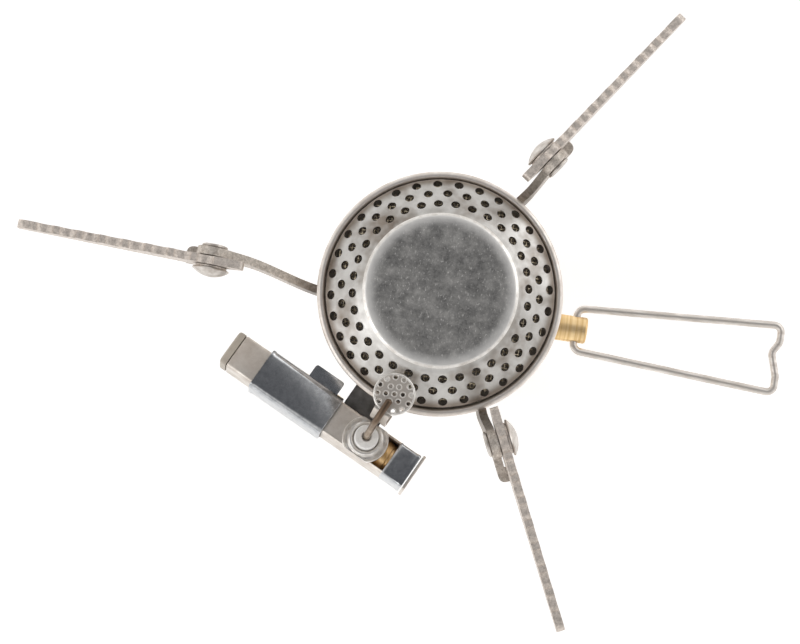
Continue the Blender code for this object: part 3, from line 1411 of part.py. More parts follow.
def build():
    brass = principled("turned_brass", (0.62, 0.40, 0.11), 0.35, 1.0)
    tumbled = principled("tumbled_steel", (0.42, 0.39, 0.36), 0.45, 1.0)
    pressed = principled("pressed_steel", (0.55, 0.54, 0.52), 0.30, 1.0)
    bright = principled("polished_steel", (0.62, 0.62, 0.62), 0.12, 1.0)
    dark = principled("dark_sheet_steel", (0.16, 0.16, 0.16), 0.40, 1.0)
    gauze = principled("steel_gauze", (0.20, 0.18, 0.15), 0.60, 1.0)
    tinted = principled("heat_tinted_wire", (0.36, 0.29, 0.22), 0.35, 1.0)
    ceramic = principled("white_ceramic", (0.85, 0.84, 0.81), 0.45, 0.0)
    plastic = principled("beige_plastic", (0.55, 0.50, 0.44), 0.50, 0.0)
    rubber = principled("black_rubber", (0.02, 0.02, 0.02), 0.70, 0.0)

    spindle_frame = empty("spindle_frame", location=(0, 0, SPINDLE_HEIGHT))
    valve_body(brass)
    canister_side_pieces(rubber, bright, gauze)
    gland(brass, rubber, spindle_frame)
    spindle_and_knob(bright, brass, spindle_frame)
    handle(bright, spindle_frame)

    jet_and_tube(brass, bright)
    hub_and_rivets(tumbled)
    burner_cup(pressed)
    burner_plate(pressed)
    gauze_ring(gauze)

    for arm in ARMS:
        pot_support(tumbled, dark, arm)

    upright = empty("igniter_frame", rotation=(0, 0, IGNITER_ANGLE))
    housing_frame = empty(
        "housing_frame",
        parent=upright,
        location=(0, -IGNITER_REACH, IGNITER_HEIGHT),
        rotation=Euler((-IGNITER_LEAN, 0, 0)),
    )
    igniter_housing(pressed, housing_frame)
    igniter_cover(bright, housing_frame)
    igniter_button(pressed, plastic, housing_frame)
    piezo_and_spring(brass, bright, housing_frame)
    insulator(ceramic, bright, housing_frame)
    electrode_and_spark_disc(tinted, pressed, upright)
    igniter_stay(dark, bright, upright, housing_frame)


build()
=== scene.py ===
"""Looks of a canister-top camping stove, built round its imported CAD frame.

Every length is in metres, in the frame of the CAD: the origin is on the face that seats on the
canister, +Z runs up the stove's axis and +X along the valve spindle. Each operator makes one
piece or one group of like pieces in place of the plain CAD nodes.
"""

import json
import math

import bmesh
import bpy
from mathutils import Matrix, Vector


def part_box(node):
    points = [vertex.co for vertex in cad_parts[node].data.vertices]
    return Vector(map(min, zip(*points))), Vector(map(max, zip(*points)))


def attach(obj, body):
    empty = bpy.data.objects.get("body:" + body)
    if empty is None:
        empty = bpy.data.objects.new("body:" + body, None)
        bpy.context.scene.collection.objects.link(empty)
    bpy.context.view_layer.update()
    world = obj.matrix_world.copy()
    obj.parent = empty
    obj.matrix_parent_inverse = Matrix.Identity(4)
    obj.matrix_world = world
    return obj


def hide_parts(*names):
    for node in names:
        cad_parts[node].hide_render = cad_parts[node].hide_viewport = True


bl_info = {
    "name": "Camping Stove",
    "version": (1, 0, 0),
    "blender": (4, 5, 0),
    "location": "3D View > Sidebar > Stove",
    "description": "Builds the visible pieces of a camping stove round its CAD frame",
    "category": "Object",
}

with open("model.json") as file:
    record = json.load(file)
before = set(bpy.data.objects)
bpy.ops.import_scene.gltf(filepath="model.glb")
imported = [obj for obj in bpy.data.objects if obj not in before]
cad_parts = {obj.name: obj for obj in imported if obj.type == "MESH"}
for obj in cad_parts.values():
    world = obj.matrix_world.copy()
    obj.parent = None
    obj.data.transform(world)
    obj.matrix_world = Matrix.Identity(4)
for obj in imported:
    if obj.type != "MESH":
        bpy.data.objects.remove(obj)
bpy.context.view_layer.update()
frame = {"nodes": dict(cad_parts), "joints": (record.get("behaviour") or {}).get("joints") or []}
NODES = frame["nodes"]
JOINTS = {joint["name"]: joint for joint in frame["joints"]}

MM = 0.001
HALF_PI = math.pi / 2
GAP = 0.3 * MM

# Heights and radii that the CAD frame gives
RIM_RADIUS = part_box("burner_cup")[1].x
RIM_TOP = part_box("burner_cup")[1].z
CUP_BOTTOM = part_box("burner_cup")[0].z
HUB_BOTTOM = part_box("support_hub")[0].z
HUB_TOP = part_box("support_hub")[1].z
HUB_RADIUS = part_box("support_hub")[1].x
CLAMP_TOP = HUB_BOTTOM - GAP
NECK_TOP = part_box("valve_body")[1].z
FLANGE_RADIUS = -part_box("valve_body")[0].x
TUBE_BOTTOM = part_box("mixing_tube")[0].z
TUBE_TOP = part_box("mixing_tube")[1].z
JET_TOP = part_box("gas_jet")[1].z
SPINDLE_HEIGHT = JOINTS["control_turn"]["pos_m"][2]
HANDLE_HINGE = JOINTS["handle_swing"]["pos_m"][0]
KNOB_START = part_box("control_knob")[0].x
KNOB_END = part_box("control_knob")[1].x
KNOB_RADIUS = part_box("control_knob")[1].y
HANDLE_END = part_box("handle_wire")[1].x
HANDLE_HALF_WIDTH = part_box("handle_wire")[1].y

# Valve
KNURL_STEPS = 120
KNURL_DEPTH = 0.35 * MM

# Burner
TUBE_RADIUS = 5.5 * MM
TUBE_BORE = 4.5 * MM
AIR_HOLE_RADIUS = 2.3 * MM
SHOULDER_RADIUS = 8.5 * MM
SHOULDER_THICKNESS = 1.8 * MM
CLAMP_HOLE_RADIUS = 5.8 * MM
CUP_FLOOR_RADIUS = RIM_RADIUS - 7.65 * MM
CUP_SHEET = 0.8 * MM
CONE_EDGE_RADIUS = RIM_RADIUS - 2.2 * MM
CONE_EDGE_HEIGHT = RIM_TOP + 1.0 * MM
CONE_SLOPE = math.radians(35.4)
CONE_TOP_RADIUS = RIM_RADIUS - 10.05 * MM
HOLES_PER_ROW = 32
HOLE_SIDES = 16
HOLE_ROW_RADII = (RIM_RADIUS - 3.5 * MM, RIM_RADIUS - 6.05 * MM, RIM_RADIUS - 8.8 * MM)
HOLE_ROW_EDGES = (
    CONE_EDGE_RADIUS,
    (HOLE_ROW_RADII[0] + HOLE_ROW_RADII[1]) / 2,
    (HOLE_ROW_RADII[1] + HOLE_ROW_RADII[2]) / 2,
    CONE_TOP_RADIUS,
)
HOLE_START = math.radians(99.7)
GAUZE_BELOW_CONE = 1.1 * MM

# Pot supports. "Along" is outwards from the stove's axis and "side" is to the arm's left.
BLADE_SIDE = 3.8 * MM
BLADE_REACH = 47.2 * MM
BLADE_TOP = 5.0 * MM
TEETH = 8
TOOTH_PITCH = 5.58 * MM
SCALLOP_LENGTH = 4.1 * MM
BRACKET_SIDE = 1.5 * MM
BRACKET_THICKNESS = 2.0 * MM
BRACKET_HALF_DEPTH = 3.2 * MM
BRACKET_KNEE = 26.6 * MM
BRACKET_ROOT = 11.5 * MM
HOOK_BELOW_RIVET = 5.8 * MM
EYE_RADIUS = 4.0 * MM
RIVET_RADIUS = 2.0 * MM
DOME_START = 5.5 * MM
DOME_HEIGHT = 2.0 * MM
DOME_SPHERE = 7.0 * MM
ARMS = (
    # name, side offset of the bracket's root, where its jog starts, how far past the rivet its hook is
    ("rear", 3.9 * MM, 30.3 * MM, 7.0 * MM),
    ("left", 2.5 * MM, 28.0 * MM, 7.2 * MM),
    ("right", 2.5 * MM, 28.0 * MM, 10.0 * MM),
)

# Igniter, in its own leaning frame: x runs from the button to the closed end, y towards the burner
IGNITER_REACH = 40.45 * MM
IGNITER_HEIGHT = 46.0 * MM
IGNITER_AXIS = Vector(JOINTS["igniter_push"]["axis"])
IGNITER_TURN = Matrix.Rotation(math.atan2(IGNITER_AXIS.y, IGNITER_AXIS.x), 4, "Z")
IGNITER_LEAN = Matrix.Translation((0, -IGNITER_REACH, IGNITER_HEIGHT)) @ Matrix.Rotation(
    math.radians(-9.0), 4, "X"
)
HOUSING_HALF_WIDTH = 4.65 * MM
HOUSING_HALF_HEIGHT = 4.7 * MM
HOUSING_START = -19.5 * MM
HOUSING_END = 19.0 * MM
COVER_HALF_WIDTH = 5.45 * MM
COVER_HALF_HEIGHT = 5.5 * MM
COVER_START = -26.4 * MM
COVER_END = -5.0 * MM
BOSS_ALONG = 5.1 * MM
WINDOW_END = 13.0 * MM
DISH_RADIUS = 5.65 * MM
INSULATOR_ABOVE_HOUSING = 4.7 * MM
SPARK_DISC_CENTRE = Vector((BOSS_ALONG, 3.25 * MM - RIM_RADIUS, RIM_TOP + 7.4 * MM))
SPARK_DISC_REACH = 5.15 * MM


# ---------------------------------------------------------------- settings


def size_property(name, description, millimetres):
    return bpy.props.FloatProperty(
        name=name, description=description, default=millimetres * MM, unit="LENGTH"
    )


def linear(code):
    """An sRGB hex value as the linear colour that Blender's sockets take."""
    channels = [int(code[i : i + 2], 16) / 255 for i in (1, 3, 5)]
    return [c / 12.92 if c <= 0.04045 else ((c + 0.055) / 1.055) ** 2.4 for c in channels]


def colour_property(name, description, code):
    return bpy.props.FloatVectorProperty(
        name=name, description=description, subtype="COLOR", size=3, min=0, max=1, default=linear(code)
    )


class StoveColours(bpy.types.PropertyGroup):
    steel: colour_property("Steel", "Stamped stainless steel where it is cleanest", "#D2D0CD")
    tumbled: colour_property("Tumbled steel", "Stainless steel dulled by tumbling", "#CFC6BE")
    brass: colour_property("Brass", "Turned brass where it is brightest", "#FFE2B0")
    ceramic: colour_property("Ceramic", "Fired alumina of the insulator", "#EFEDEA")
    button: colour_property("Button", "Moulded plastic of the igniter's button", "#BDB3A6")
    floor: colour_property("Floor", "Plain floor under the stove", "#F6F6F6")


class StoveBurner(bpy.types.PropertyGroup):
    flame_hole_radius: size_property("Flame hole radius", "Radius of each hole in the burner plate", 1.07)
    plate_sheet: size_property("Plate sheet", "Thickness of the stamped burner plate", 0.5)
    gauze_pitch: size_property("Gauze pitch", "Distance between wires of the gauze under the holes", 0.95)
    gauze_wire_radius: size_property("Gauze wire radius", "Radius of one wire of the gauze", 0.17)


class StoveSupports(bpy.types.PropertyGroup):
    blade_thickness: size_property("Blade thickness", "Thickness of the sheet of the blades", 2.0)
    scallop_depth: size_property("Scallop depth", "How deep the hollows between the teeth are", 1.0)
    edge_radius: size_property("Edge radius", "How far tumbling has rounded the edges", 0.22)


class StoveHandle(bpy.types.PropertyGroup):
    wire_radius: size_property("Wire radius", "Radius of the handle's wire", 1.0)
    bend_radius: size_property("Bend radius", "Radius of the bends along the middle of the wire", 2.4)


class StoveIgniter(bpy.types.PropertyGroup):
    electrode_radius: size_property("Electrode radius", "Radius of the live wire", 0.85)
    spark_hole_radius: size_property("Spark hole radius", "Radius of each hole in the spark disc", 0.5)


# ---------------------------------------------------------------- materials


# Blender's colour mix keeps its two colours at inputs 6 and 7 and its result at output 2.
COLOUR_MIX = {"output": 2, "data_type": "RGBA"}


def add_node(tree, kind, inputs=None, output=0, **settings):
    """Adds a node with its settings, fills its inputs with values or links, and gives an output."""
    node = tree.nodes.new(kind)
    for name, value in settings.items():
        setattr(node, name, value)
    for name, value in (inputs or {}).items():
        if isinstance(value, bpy.types.NodeSocket):
            tree.links.new(value, node.inputs[name])
        else:
            node.inputs[name].default_value = value
    return node.outputs[output]


def rgba(colour):
    return (*(linear(colour) if isinstance(colour, str) else colour[:3]), 1.0)


def shade(colour, factor):
    return [min(1.0, channel * factor) for channel in colour]


def patches(
    tree, place, size, light, dark, detail=4, spread=(0.35, 0.65), stretch=(1, 1, 1), fineness=0.6
):
    """Soft patches between two colours. Gives the colour and the mask from 0, dark, to 1, light."""
    mapped = add_node(tree, "ShaderNodeMapping", {"Vector": place, "Scale": stretch})
    noise = add_node(
        tree, "ShaderNodeTexNoise",
        {"Vector": mapped, "Scale": 1 / (size * MM), "Detail": detail, "Roughness": fineness},
    )
    mask = add_node(
        tree, "ShaderNodeMapRange", {"Value": noise, "From Min": spread[0], "From Max": spread[1]}
    )
    blend = {0: mask, 6: rgba(dark), 7: rgba(light)}
    return add_node(tree, "ShaderNodeMix", blend, **COLOUR_MIX), mask


def grain(tree, place, size, stretch=(1, 1, 1), detail=2.0):
    """Fine grain at a real size in mm, drawn out along an axis by a small stretch value on it."""
    mapped = add_node(tree, "ShaderNodeMapping", {"Vector": place, "Scale": stretch})
    return add_node(
        tree, "ShaderNodeTexNoise", {"Vector": mapped, "Scale": 1 / (size * MM), "Detail": detail}
    )


def distance_from_axis(tree, place, near, far):
    """A mask that runs from 0 at one distance from the stove's axis to 1 at another."""
    flat = add_node(tree, "ShaderNodeVectorMath", {0: place, 1: (1, 1, 0)}, operation="MULTIPLY")
    reach = add_node(tree, "ShaderNodeVectorMath", {0: flat}, output="Value", operation="LENGTH")
    return add_node(
        tree, "ShaderNodeMapRange", {"Value": reach, "From Min": near, "From Max": far},
        interpolation_type="SMOOTHSTEP",
    )


def start_material(name, size, light, dark, roughness, metallic=1.0, ior=None, **pattern):
    """A material with patches of a size in mm. Gives it, its tree, shader inputs, place and colour.

    A pair of roughnesses goes with the dark and the light patches. One number holds all over.
    """
    material = bpy.data.materials.new(name)
    material.use_nodes = True
    tree = material.node_tree
    shader = tree.nodes["Principled BSDF"].inputs
    shader["Metallic"].default_value = metallic
    if ior:
        shader["IOR"].default_value = ior
    place = add_node(tree, "ShaderNodeTexCoord", output="Object")
    colour, mask = patches(tree, place, size, light, dark, **pattern)
    tree.links.new(colour, shader["Base Color"])
    if isinstance(roughness, tuple):
        drift = {"Value": mask, "To Min": roughness[0], "To Max": roughness[1]}
        tree.links.new(add_node(tree, "ShaderNodeMapRange", drift), shader["Roughness"])
    else:
        shader["Roughness"].default_value = roughness
    return material, tree, shader, place, colour


def grained_material(
    name, size, light, dark, roughness, fine, depth, along=(1, 1, 1), fine_detail=2.0, **pattern
):
    """A material of patches with one fine grain. Its sizes and its depth are in mm."""
    material, tree, shader, place, _ = start_material(name, size, light, dark, roughness, **pattern)
    bump = {"Height": grain(tree, place, fine, along, fine_detail), "Distance": depth * MM}
    tree.links.new(add_node(tree, "ShaderNodeBump", bump), shader["Normal"])
    return material


def turned_brass(name, axis, light, dark):
    """Free-cutting brass, turned: warm satin with fine tool rings round the turning axis.

    The rings are 0.1 mm apart on the real piece, and are drawn 0.3 mm apart so that they show.
    """
    rings = [0.03, 0.03, 0.03]
    rings[axis] = 1.0
    return grained_material(
        name, 0.8, light, dark, (0.48, 0.4), 0.3, 0.015, rings, detail=3, stretch=rings
    )


def heated_plate_steel():
    """Stamped stainless steel heated by the flame: satin, with faint brown-grey stains near the holes,
    and painted shade that darkens the cone's outer edge next to the rim.
    """
    material, tree, shader, place, clean = start_material(
        "heated_stamped_steel", 5, "#D6D4D1", "#BDBAB6", (0.46, 0.36)
    )
    stain, _ = patches(tree, place, 9, "#FFFFFF", "#B9AFA6", detail=3, spread=(0.3, 0.5))
    multiply = {**COLOUR_MIX, "blend_type": "MULTIPLY"}
    stained = add_node(tree, "ShaderNodeMix", {0: 1.0, 6: clean, 7: stain}, **multiply)
    # Painted shade: a brown-grey tint over the cone's outer edge, next to the rim, stands in for the
    # shade it shows there.
    painted_edge_shade = add_node(tree, "ShaderNodeMix", {0: 1.0, 6: stained, 7: rgba("#B5ABA2")}, **multiply)
    edge = distance_from_axis(tree, place, RIM_RADIUS - 4.4 * MM, RIM_RADIUS - 2.6 * MM)
    colour = add_node(tree, "ShaderNodeMix", {0: edge, 6: stained, 7: painted_edge_shade}, **COLOUR_MIX)
    tree.links.new(colour, shader["Base Color"])
    # Sheet grain, near 0.02 mm on the real plate, drawn at 0.22 mm so that it shows.
    bump = {"Height": grain(tree, place, 0.22), "Distance": 0.014 * MM}
    tree.links.new(add_node(tree, "ShaderNodeBump", bump), shader["Normal"])
    return material


def scuffed_steel():
    """Rolled stainless steel scuffed by pots: cloudy grey with bright flecks, turning pale towards its
    edge as a painted highlight.
    """
    material, tree, shader, place, cloudy = start_material(
        "scuffed_rolled_steel", 3.5, "#C4C2BF", "#7B7A79", (0.4, 0.5), detail=14,
        spread=(0.36, 0.64), fineness=0.85,
    )
    flecks = add_node(
        tree, "ShaderNodeMapRange",
        {"Value": grain(tree, place, 0.4, (1, 0.5, 1), 4), "From Min": 0.6, "From Max": 0.75},
    )
    # Painted highlight: the centre turns pale towards its edge, standing in for the bright ring round it.
    painted_edge_highlight = distance_from_axis(tree, place, CONE_TOP_RADIUS - 5.2 * MM, CONE_TOP_RADIUS - 2.2 * MM)
    colour = cloudy
    for mask, pale in ((flecks, "#F2F0EC"), (painted_edge_highlight, "#F4F2EF")):
        layers = {0: mask, 6: colour, 7: rgba(pale)}
        colour = add_node(tree, "ShaderNodeMix", layers, **COLOUR_MIX)
    tree.links.new(colour, shader["Base Color"])
    # Scratches are some 0.03 mm wide, and are drawn 0.3 mm wide and 4 mm long so that they show.
    along = grain(tree, place, 0.3, (1, 0.08, 1), 3)
    across = grain(tree, place, 0.3, (0.08, 1, 1), 3)
    height = add_node(tree, "ShaderNodeMath", {0: along, 1: across}, operation="ADD")
    bump = {"Height": height, "Distance": 0.02 * MM}
    tree.links.new(add_node(tree, "ShaderNodeBump", bump), shader["Normal"])
    return material


def tumbled_steel(colour):
    """Stainless steel blanked from sheet and tumbled: warm grey, matt and pitted, in lighter and darker
    patches.
    """
    material, tree, shader, place, _ = start_material(
        "tumbled_stainless_steel", 0.9, shade(colour, 1.4), shade(colour, 0.6), (0.62, 0.48),
        detail=8, spread=(0.3, 0.62), fineness=0.8,
    )
    # Pits left by the tumbling stones, 0.3 to 0.6 mm across.
    pits = add_node(tree, "ShaderNodeTexVoronoi", {"Vector": place, "Scale": 1 / (0.5 * MM)})
    rough = grain(tree, place, 0.35, detail=4)
    height = add_node(tree, "ShaderNodeMath", {0: pits, 1: rough}, operation="ADD")
    bump = {"Height": height, "Distance": 0.05 * MM}
    tree.links.new(add_node(tree, "ShaderNodeBump", bump), shader["Normal"])
    return material


def heat_dulled_steel():
    """Tumbled stainless steel baked beside the burner: brown-grey near the rim, cleaner further out."""
    material, tree, shader, place, clean = start_material(
        "heat_dulled_steel", 0.9, "#EDE5DC", "#A39A91", (0.62, 0.48), detail=8, fineness=0.8
    )
    burnt, _ = patches(tree, place, 2, "#A8A098", "#787069", detail=5)
    baked = distance_from_axis(tree, place, RIM_RADIUS + 1 * MM, RIM_RADIUS + 9 * MM)
    colour = add_node(tree, "ShaderNodeMix", {0: baked, 6: burnt, 7: clean}, **COLOUR_MIX)
    tree.links.new(colour, shader["Base Color"])
    bump = {"Height": grain(tree, place, 0.35, detail=4), "Distance": 0.04 * MM}
    tree.links.new(add_node(tree, "ShaderNodeBump", bump), shader["Normal"])
    return material


def tinted_wire():
    """Heat-resistant nickel alloy wire: straw and brown heat tint, darker towards the spark."""
    material, tree, shader, place, straw = start_material(
        "heat_tinted_alloy_wire", 2, "#C9B9A4", "#8A7560", (0.4, 0.28), detail=5
    )
    height = add_node(tree, "ShaderNodeSeparateXYZ", {"Vector": place}, output="Z")
    reach = {"Value": height, "From Min": RIM_TOP - 3 * MM, "From Max": RIM_TOP + 10 * MM}
    layers = {0: add_node(tree, "ShaderNodeMapRange", reach), 6: straw, 7: rgba("#6B5A4C")}
    colour = add_node(tree, "ShaderNodeMix", layers, **COLOUR_MIX)
    tree.links.new(colour, shader["Base Color"])
    return material


MATERIALS = {}


class STOVE_OT_materials(bpy.types.Operator):
    """Makes the stove's materials and gives them to the CAD nodes that stay"""

    bl_idname = "stove.materials"
    bl_label = "Materials"

    def execute(self, context):
        colours = context.scene.stove_colours
        MATERIALS.update(
            # Stainless steel sheet, stamped: a soft satin that stays pale, with a fine sandy grain.
            # The grain of rolled sheet is near 0.02 mm, and is drawn at 0.25 mm so that it shows.
            stamped=grained_material(
                "stamped_stainless_steel", 7, colours.steel, "#B5B2AE", (0.44, 0.34), 0.25, 0.012
            ),
            plate=heated_plate_steel(),
            scuffed=scuffed_steel(),
            # Stainless steel cup, spun on a lathe: bright satin with fine rings, 0.3 mm apart.
            spun=grained_material(
                "spun_stainless_steel", 4, "#F2ECE6", "#DCD3CB", (0.5, 0.38), 0.3, 0.01,
                (0.05, 0.05, 1), stretch=(1, 1, 2),
            ),
            tumbled=tumbled_steel(colours.tumbled),
            dulled=heat_dulled_steel(),
            # Stainless rivet head, formed by a polished punch: smooth, pale and softly shiny.
            domed=grained_material(
                "headed_stainless_steel", 2, "#DCD6D0", "#BBB3AB", (0.46, 0.34), 0.4, 0.008, detail=5
            ),
            # Bright-annealed stainless sheet, pressed: a near mirror with a faint blue cast and
            # soft dents some 2 mm across.
            mirror=grained_material(
                "bright_annealed_steel", 2, "#D2D3D5", "#9A9DA1", (0.2, 0.12), 2.2, 0.012,
                fine_detail=3, detail=10, fineness=0.85,
            ),
            # Cold-rolled stainless sheet, left as rolled: an even grey satin. Its grain of some
            # 0.02 mm is drawn at 0.3 mm so that it shows.
            matt=grained_material(
                "cold_rolled_steel", 4, "#E4DDD5", "#CFC6BD", (0.5, 0.38), 0.3, 0.01, detail=5
            ),
            # Steel sheet, pressed: dark grey satin with a few clean rubs. The dark grey is painted shade,
            # for the stay that lies in shade under the burner. Its grain is drawn at 0.3 mm too.
            dark=grained_material(
                "steel_sheet_painted_shade", 3, "#848382", "#666462", (0.36, 0.5), 0.3, 0.01, detail=7
            ),
            brass=turned_brass("turned_brass", 2, colours.brass, "#E8C48A"),
            brass_rod=turned_brass("turned_brass_rod", 0, colours.brass, "#E8C48A"),
            # Brass tube of the piezo cylinder, drawn and turned to size: a deeper amber.
            brass_tube=turned_brass("drawn_brass_tube", 0, "#FFDFAE", "#D6AC72"),
            # Stainless spring wire, drawn: bright satin with long faint draw lines 0.2 mm apart.
            wire=grained_material(
                "drawn_stainless_wire", 1.2, "#EFE9E3", "#D2CAC2", (0.5, 0.38), 0.2, 0.01,
                (0.05, 1, 1), stretch=(0.2, 1, 1),
            ),
            tinted=tinted_wire(),
            # Stainless steel where a pressing has stretched it: pale, softly shiny. On the bend round the
            # burner's centre and on the spark disc's rims, this paleness is a painted highlight.
            bright=start_material("pressed_steel_and_painted_highlight", 2, "#FAF7F3", "#DDD8D2", (0.46, 0.34))[0],
            # Alumina ceramic, fired and unglazed: chalk white, matt, with grey handling marks.
            ceramic=grained_material(
                "fired_alumina_ceramic", 1.5, colours.ceramic, shade(colours.ceramic, 0.8), 0.5,
                0.2, 0.01, metallic=0.0, ior=1.76, spread=(0.25, 0.5),
            ),
            # ABS, injection moulded: warm beige satin with a spark-eroded texture.
            plastic=grained_material(
                "moulded_abs", 3, colours.button, shade(colours.button, 0.88), 0.48, 0.15, 0.012,
                metallic=0.0, ior=1.53,
            ),
            # Nitrile rubber, moulded: black and matt with a little grey bloom.
            rubber=grained_material(
                "moulded_nitrile_rubber", 1, "#2E2E2D", "#161616", 0.7, 0.15, 0.01, metallic=0.0,
                ior=1.52,
            ),
            # Heat-resistant steel wire, woven and oxidised: dark brown-grey with straw glints.
            gauze=start_material("oxidised_gauze_wire", 0.8, "#CFC3AC", "#6A5F4E", (0.55, 0.35))[0],
        )
        kept = {
            "rubber": ("canister_seal", "spindle_seal"),
            "wire": ("valve_pin", "valve_spindle", "button_spring", "igniter_screw"),
            "gauze": ("filter_disc",),
        }
        for finish, node_names in kept.items():
            for node_name in node_names:
                for slot in NODES[node_name].material_slots:
                    slot.material = MATERIALS[finish]
        return {"FINISHED"}


# ---------------------------------------------------------------- mesh building


def mm(*points, at=(0, 0)):
    """Points given in mm from a place in metres. A third number is the radius of a corner."""
    return [(x * MM + at[0], y * MM + at[1], *(r * MM for r in rest)) for x, y, *rest in points]


def add_piece(name, bm, finishes, body="stove", transform=None, closed=True):
    """Turns a bmesh into the piece that rides on a body and stands for the CAD node of its name.

    The finishes are names in MATERIALS with a space between them, in the order of the mesh's own.
    """
    if not bm.faces:
        raise RuntimeError(f"{name} has no faces")
    if transform is not None:
        bmesh.ops.transform(bm, matrix=transform, verts=bm.verts)
    if closed:
        bmesh.ops.recalc_face_normals(bm, faces=bm.faces)
    mesh = bpy.data.meshes.new(name)
    bm.to_mesh(mesh)
    bm.free()
    for finish in finishes.split():
        mesh.materials.append(MATERIALS[finish])
    smooth_faces(mesh)
    piece = bpy.data.objects.new(name, mesh)
    bpy.context.scene.collection.objects.link(piece)
    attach(piece, body)
    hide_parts(name)
    return piece


def smooth_faces(mesh):
    mesh.shade_smooth()
    mesh.set_sharp_from_angle(angle=math.radians(35))


def bevel(piece, width, segments=2):
    modifier = piece.modifiers.new("edges", "BEVEL")
    modifier.width = width
    modifier.segments = segments
    modifier.limit_method = "ANGLE"
    modifier.angle_limit = math.radians(35)
    return piece


def new_shape(bm):
    """The bmesh to add to, and the places where its new vertices and faces start."""
    bm = bm or bmesh.new()
    return bm, len(bm.verts), len(bm.faces)


def settle(bm, first_vertex, first_face, matrix=None):
    """Merges, orients and moves only what a shape has just added."""
    verts, faces = list(bm.verts)[first_vertex:], list(bm.faces)[first_face:]
    if matrix is not None:
        bmesh.ops.transform(bm, matrix=matrix, verts=verts)
    bmesh.ops.recalc_face_normals(bm, faces=faces)
    bmesh.ops.remove_doubles(bm, verts=verts, dist=1e-6)
    return bm


def lathe(profile, steps=64, closed=False, bm=None, matrix=None):
    """Turns (radius, height) points about Z. A closed profile makes a ring."""
    bm, first_vertex, first_face = new_shape(bm)
    rings = []
    for i in range(steps):
        angle = 2 * math.pi * i / steps
        across, up = math.cos(angle), math.sin(angle)
        rings.append([bm.verts.new((r * across, r * up, z)) for r, z in profile])
    for i in range(steps):
        near, far = rings[i], rings[(i + 1) % steps]
        for j in range(0 if closed else 1, len(profile)):
            bm.faces.new((near[j - 1], near[j], far[j], far[j - 1]))
    return settle(bm, first_vertex, first_face, matrix)


def arc(centre, radius, start, end, steps):
    """Points on an arc, its angles in degrees."""
    angles = [math.radians(start + (end - start) * i / steps) for i in range(steps + 1)]
    return [(centre[0] + radius * math.cos(a), centre[1] + radius * math.sin(a)) for a in angles]


def rounded_path(points, radius, steps=6):
    """The path through the points with rounded corners. Short legs get a smaller arc."""
    points = [Vector(point) for point in points]
    path = [points[0]]
    for before, corner, after in zip(points, points[1:], points[2:]):
        inward, outward = (before - corner).normalized(), (after - corner).normalized()
        half_angle = inward.angle(outward) / 2
        shortest = min((before - corner).length, (after - corner).length)
        setback = min(radius / math.tan(half_angle), 0.45 * shortest)
        arc_radius = setback * math.tan(half_angle)
        centre = corner + (inward + outward).normalized() * arc_radius / math.sin(half_angle)
        first = (corner + inward * setback - centre).normalized()
        last = (corner + outward * setback - centre).normalized()
        path += [centre + first.slerp(last, i / steps) * arc_radius for i in range(steps + 1)]
    return path + [points[-1]]


def rounded_outline(corners, radius, steps=4):
    """A closed flat outline with its corners rounded. A corner (x, y, r) has its own radius."""
    outline = []
    for i, corner in enumerate(corners):
        own_radius = corner[2] if len(corner) > 2 else radius
        here = Vector(corner[:2])
        before = Vector(corners[i - 1][:2]) - here
        after = Vector(corners[(i + 1) % len(corners)][:2]) - here
        setback = own_radius / math.tan(before.angle(after) / 2)
        setback = min(setback, 0.45 * min(before.length, after.length))
        start, end = here + before.normalized() * setback, here + after.normalized() * setback
        for t in (i / steps for i in range(steps + 1)):
            outline.append(tuple(start * (1 - t) ** 2 + here * 2 * t * (1 - t) + end * t * t))
    return outline


def plate(outlines, bottom, top, bm=None, matrix=None):
    """A flat plate between two heights. The first outline is its edge and the others are holes."""
    bm, first_vertex, first_face = new_shape(bm)
    edges = []
    for outline in outlines:
        ring = [bm.verts.new((x, y, bottom)) for x, y in outline]
        edges += [bm.edges.new((ring[i - 1], ring[i])) for i in range(len(ring))]
    filled = bmesh.ops.triangle_fill(bm, edges=edges, use_beauty=True)["geom"]
    faces = [item for item in filled if isinstance(item, bmesh.types.BMFace)]
    made = bmesh.ops.extrude_face_region(bm, geom=faces, use_keep_orig=True)["geom"]
    raised = [item for item in made if isinstance(item, bmesh.types.BMVert)]
    bmesh.ops.translate(bm, vec=(0, 0, top - bottom), verts=raised)
    return settle(bm, first_vertex, first_face, matrix)


def circle(centre, radius, steps=20):
    return arc(centre, radius, 0, 360, steps)[:-1]


def sweep(rings, bm=None, matrix=None, looped=False):
    """Joins closed rings of points, one after another. Open runs get an end face on each end."""
    bm, first_vertex, first_face = new_shape(bm)
    rows = [[bm.verts.new(corner) for corner in ring] for ring in rings]
    following = rows[1:] + (rows[:1] if looped else [])
    for near, far in zip(rows, following):
        for j in range(len(near)):
            bm.faces.new((near[j - 1], near[j], far[j], far[j - 1]))
    if not looped:
        bm.faces.new(rows[0])
        bm.faces.new(rows[-1])
    return settle(bm, first_vertex, first_face, matrix)


def wire_along(path, radius, sides=14, bm=None, matrix=None, rounded_ends=True):
    """A round wire along a path."""
    points = [Vector(point) for point in path]
    heading = (points[1] - points[0]).normalized()
    across = heading.orthogonal().normalized()
    rings = []
    for i, point in enumerate(points):
        heading = (points[min(i + 1, len(points) - 1)] - points[max(i - 1, 0)]).normalized()
        across = (across - heading * across.dot(heading)).normalized()
        up = heading.cross(across)
        spots = [(point, radius)]
        if rounded_ends and i in (0, len(points) - 1):
            away = -heading if i == 0 else heading
            spots += [
                (point + away * radius * 0.6 * math.sin(a), radius * math.cos(a))
                for a in (math.radians(30), math.radians(55), math.radians(75))
            ]
            if i == 0:
                spots.reverse()
        for centre, size in spots:
            angles = [2 * math.pi * j / sides for j in range(sides)]
            rings.append(
                [centre + (across * math.cos(a) + up * math.sin(a)) * size for a in angles]
            )
    return sweep(rings, bm, matrix)


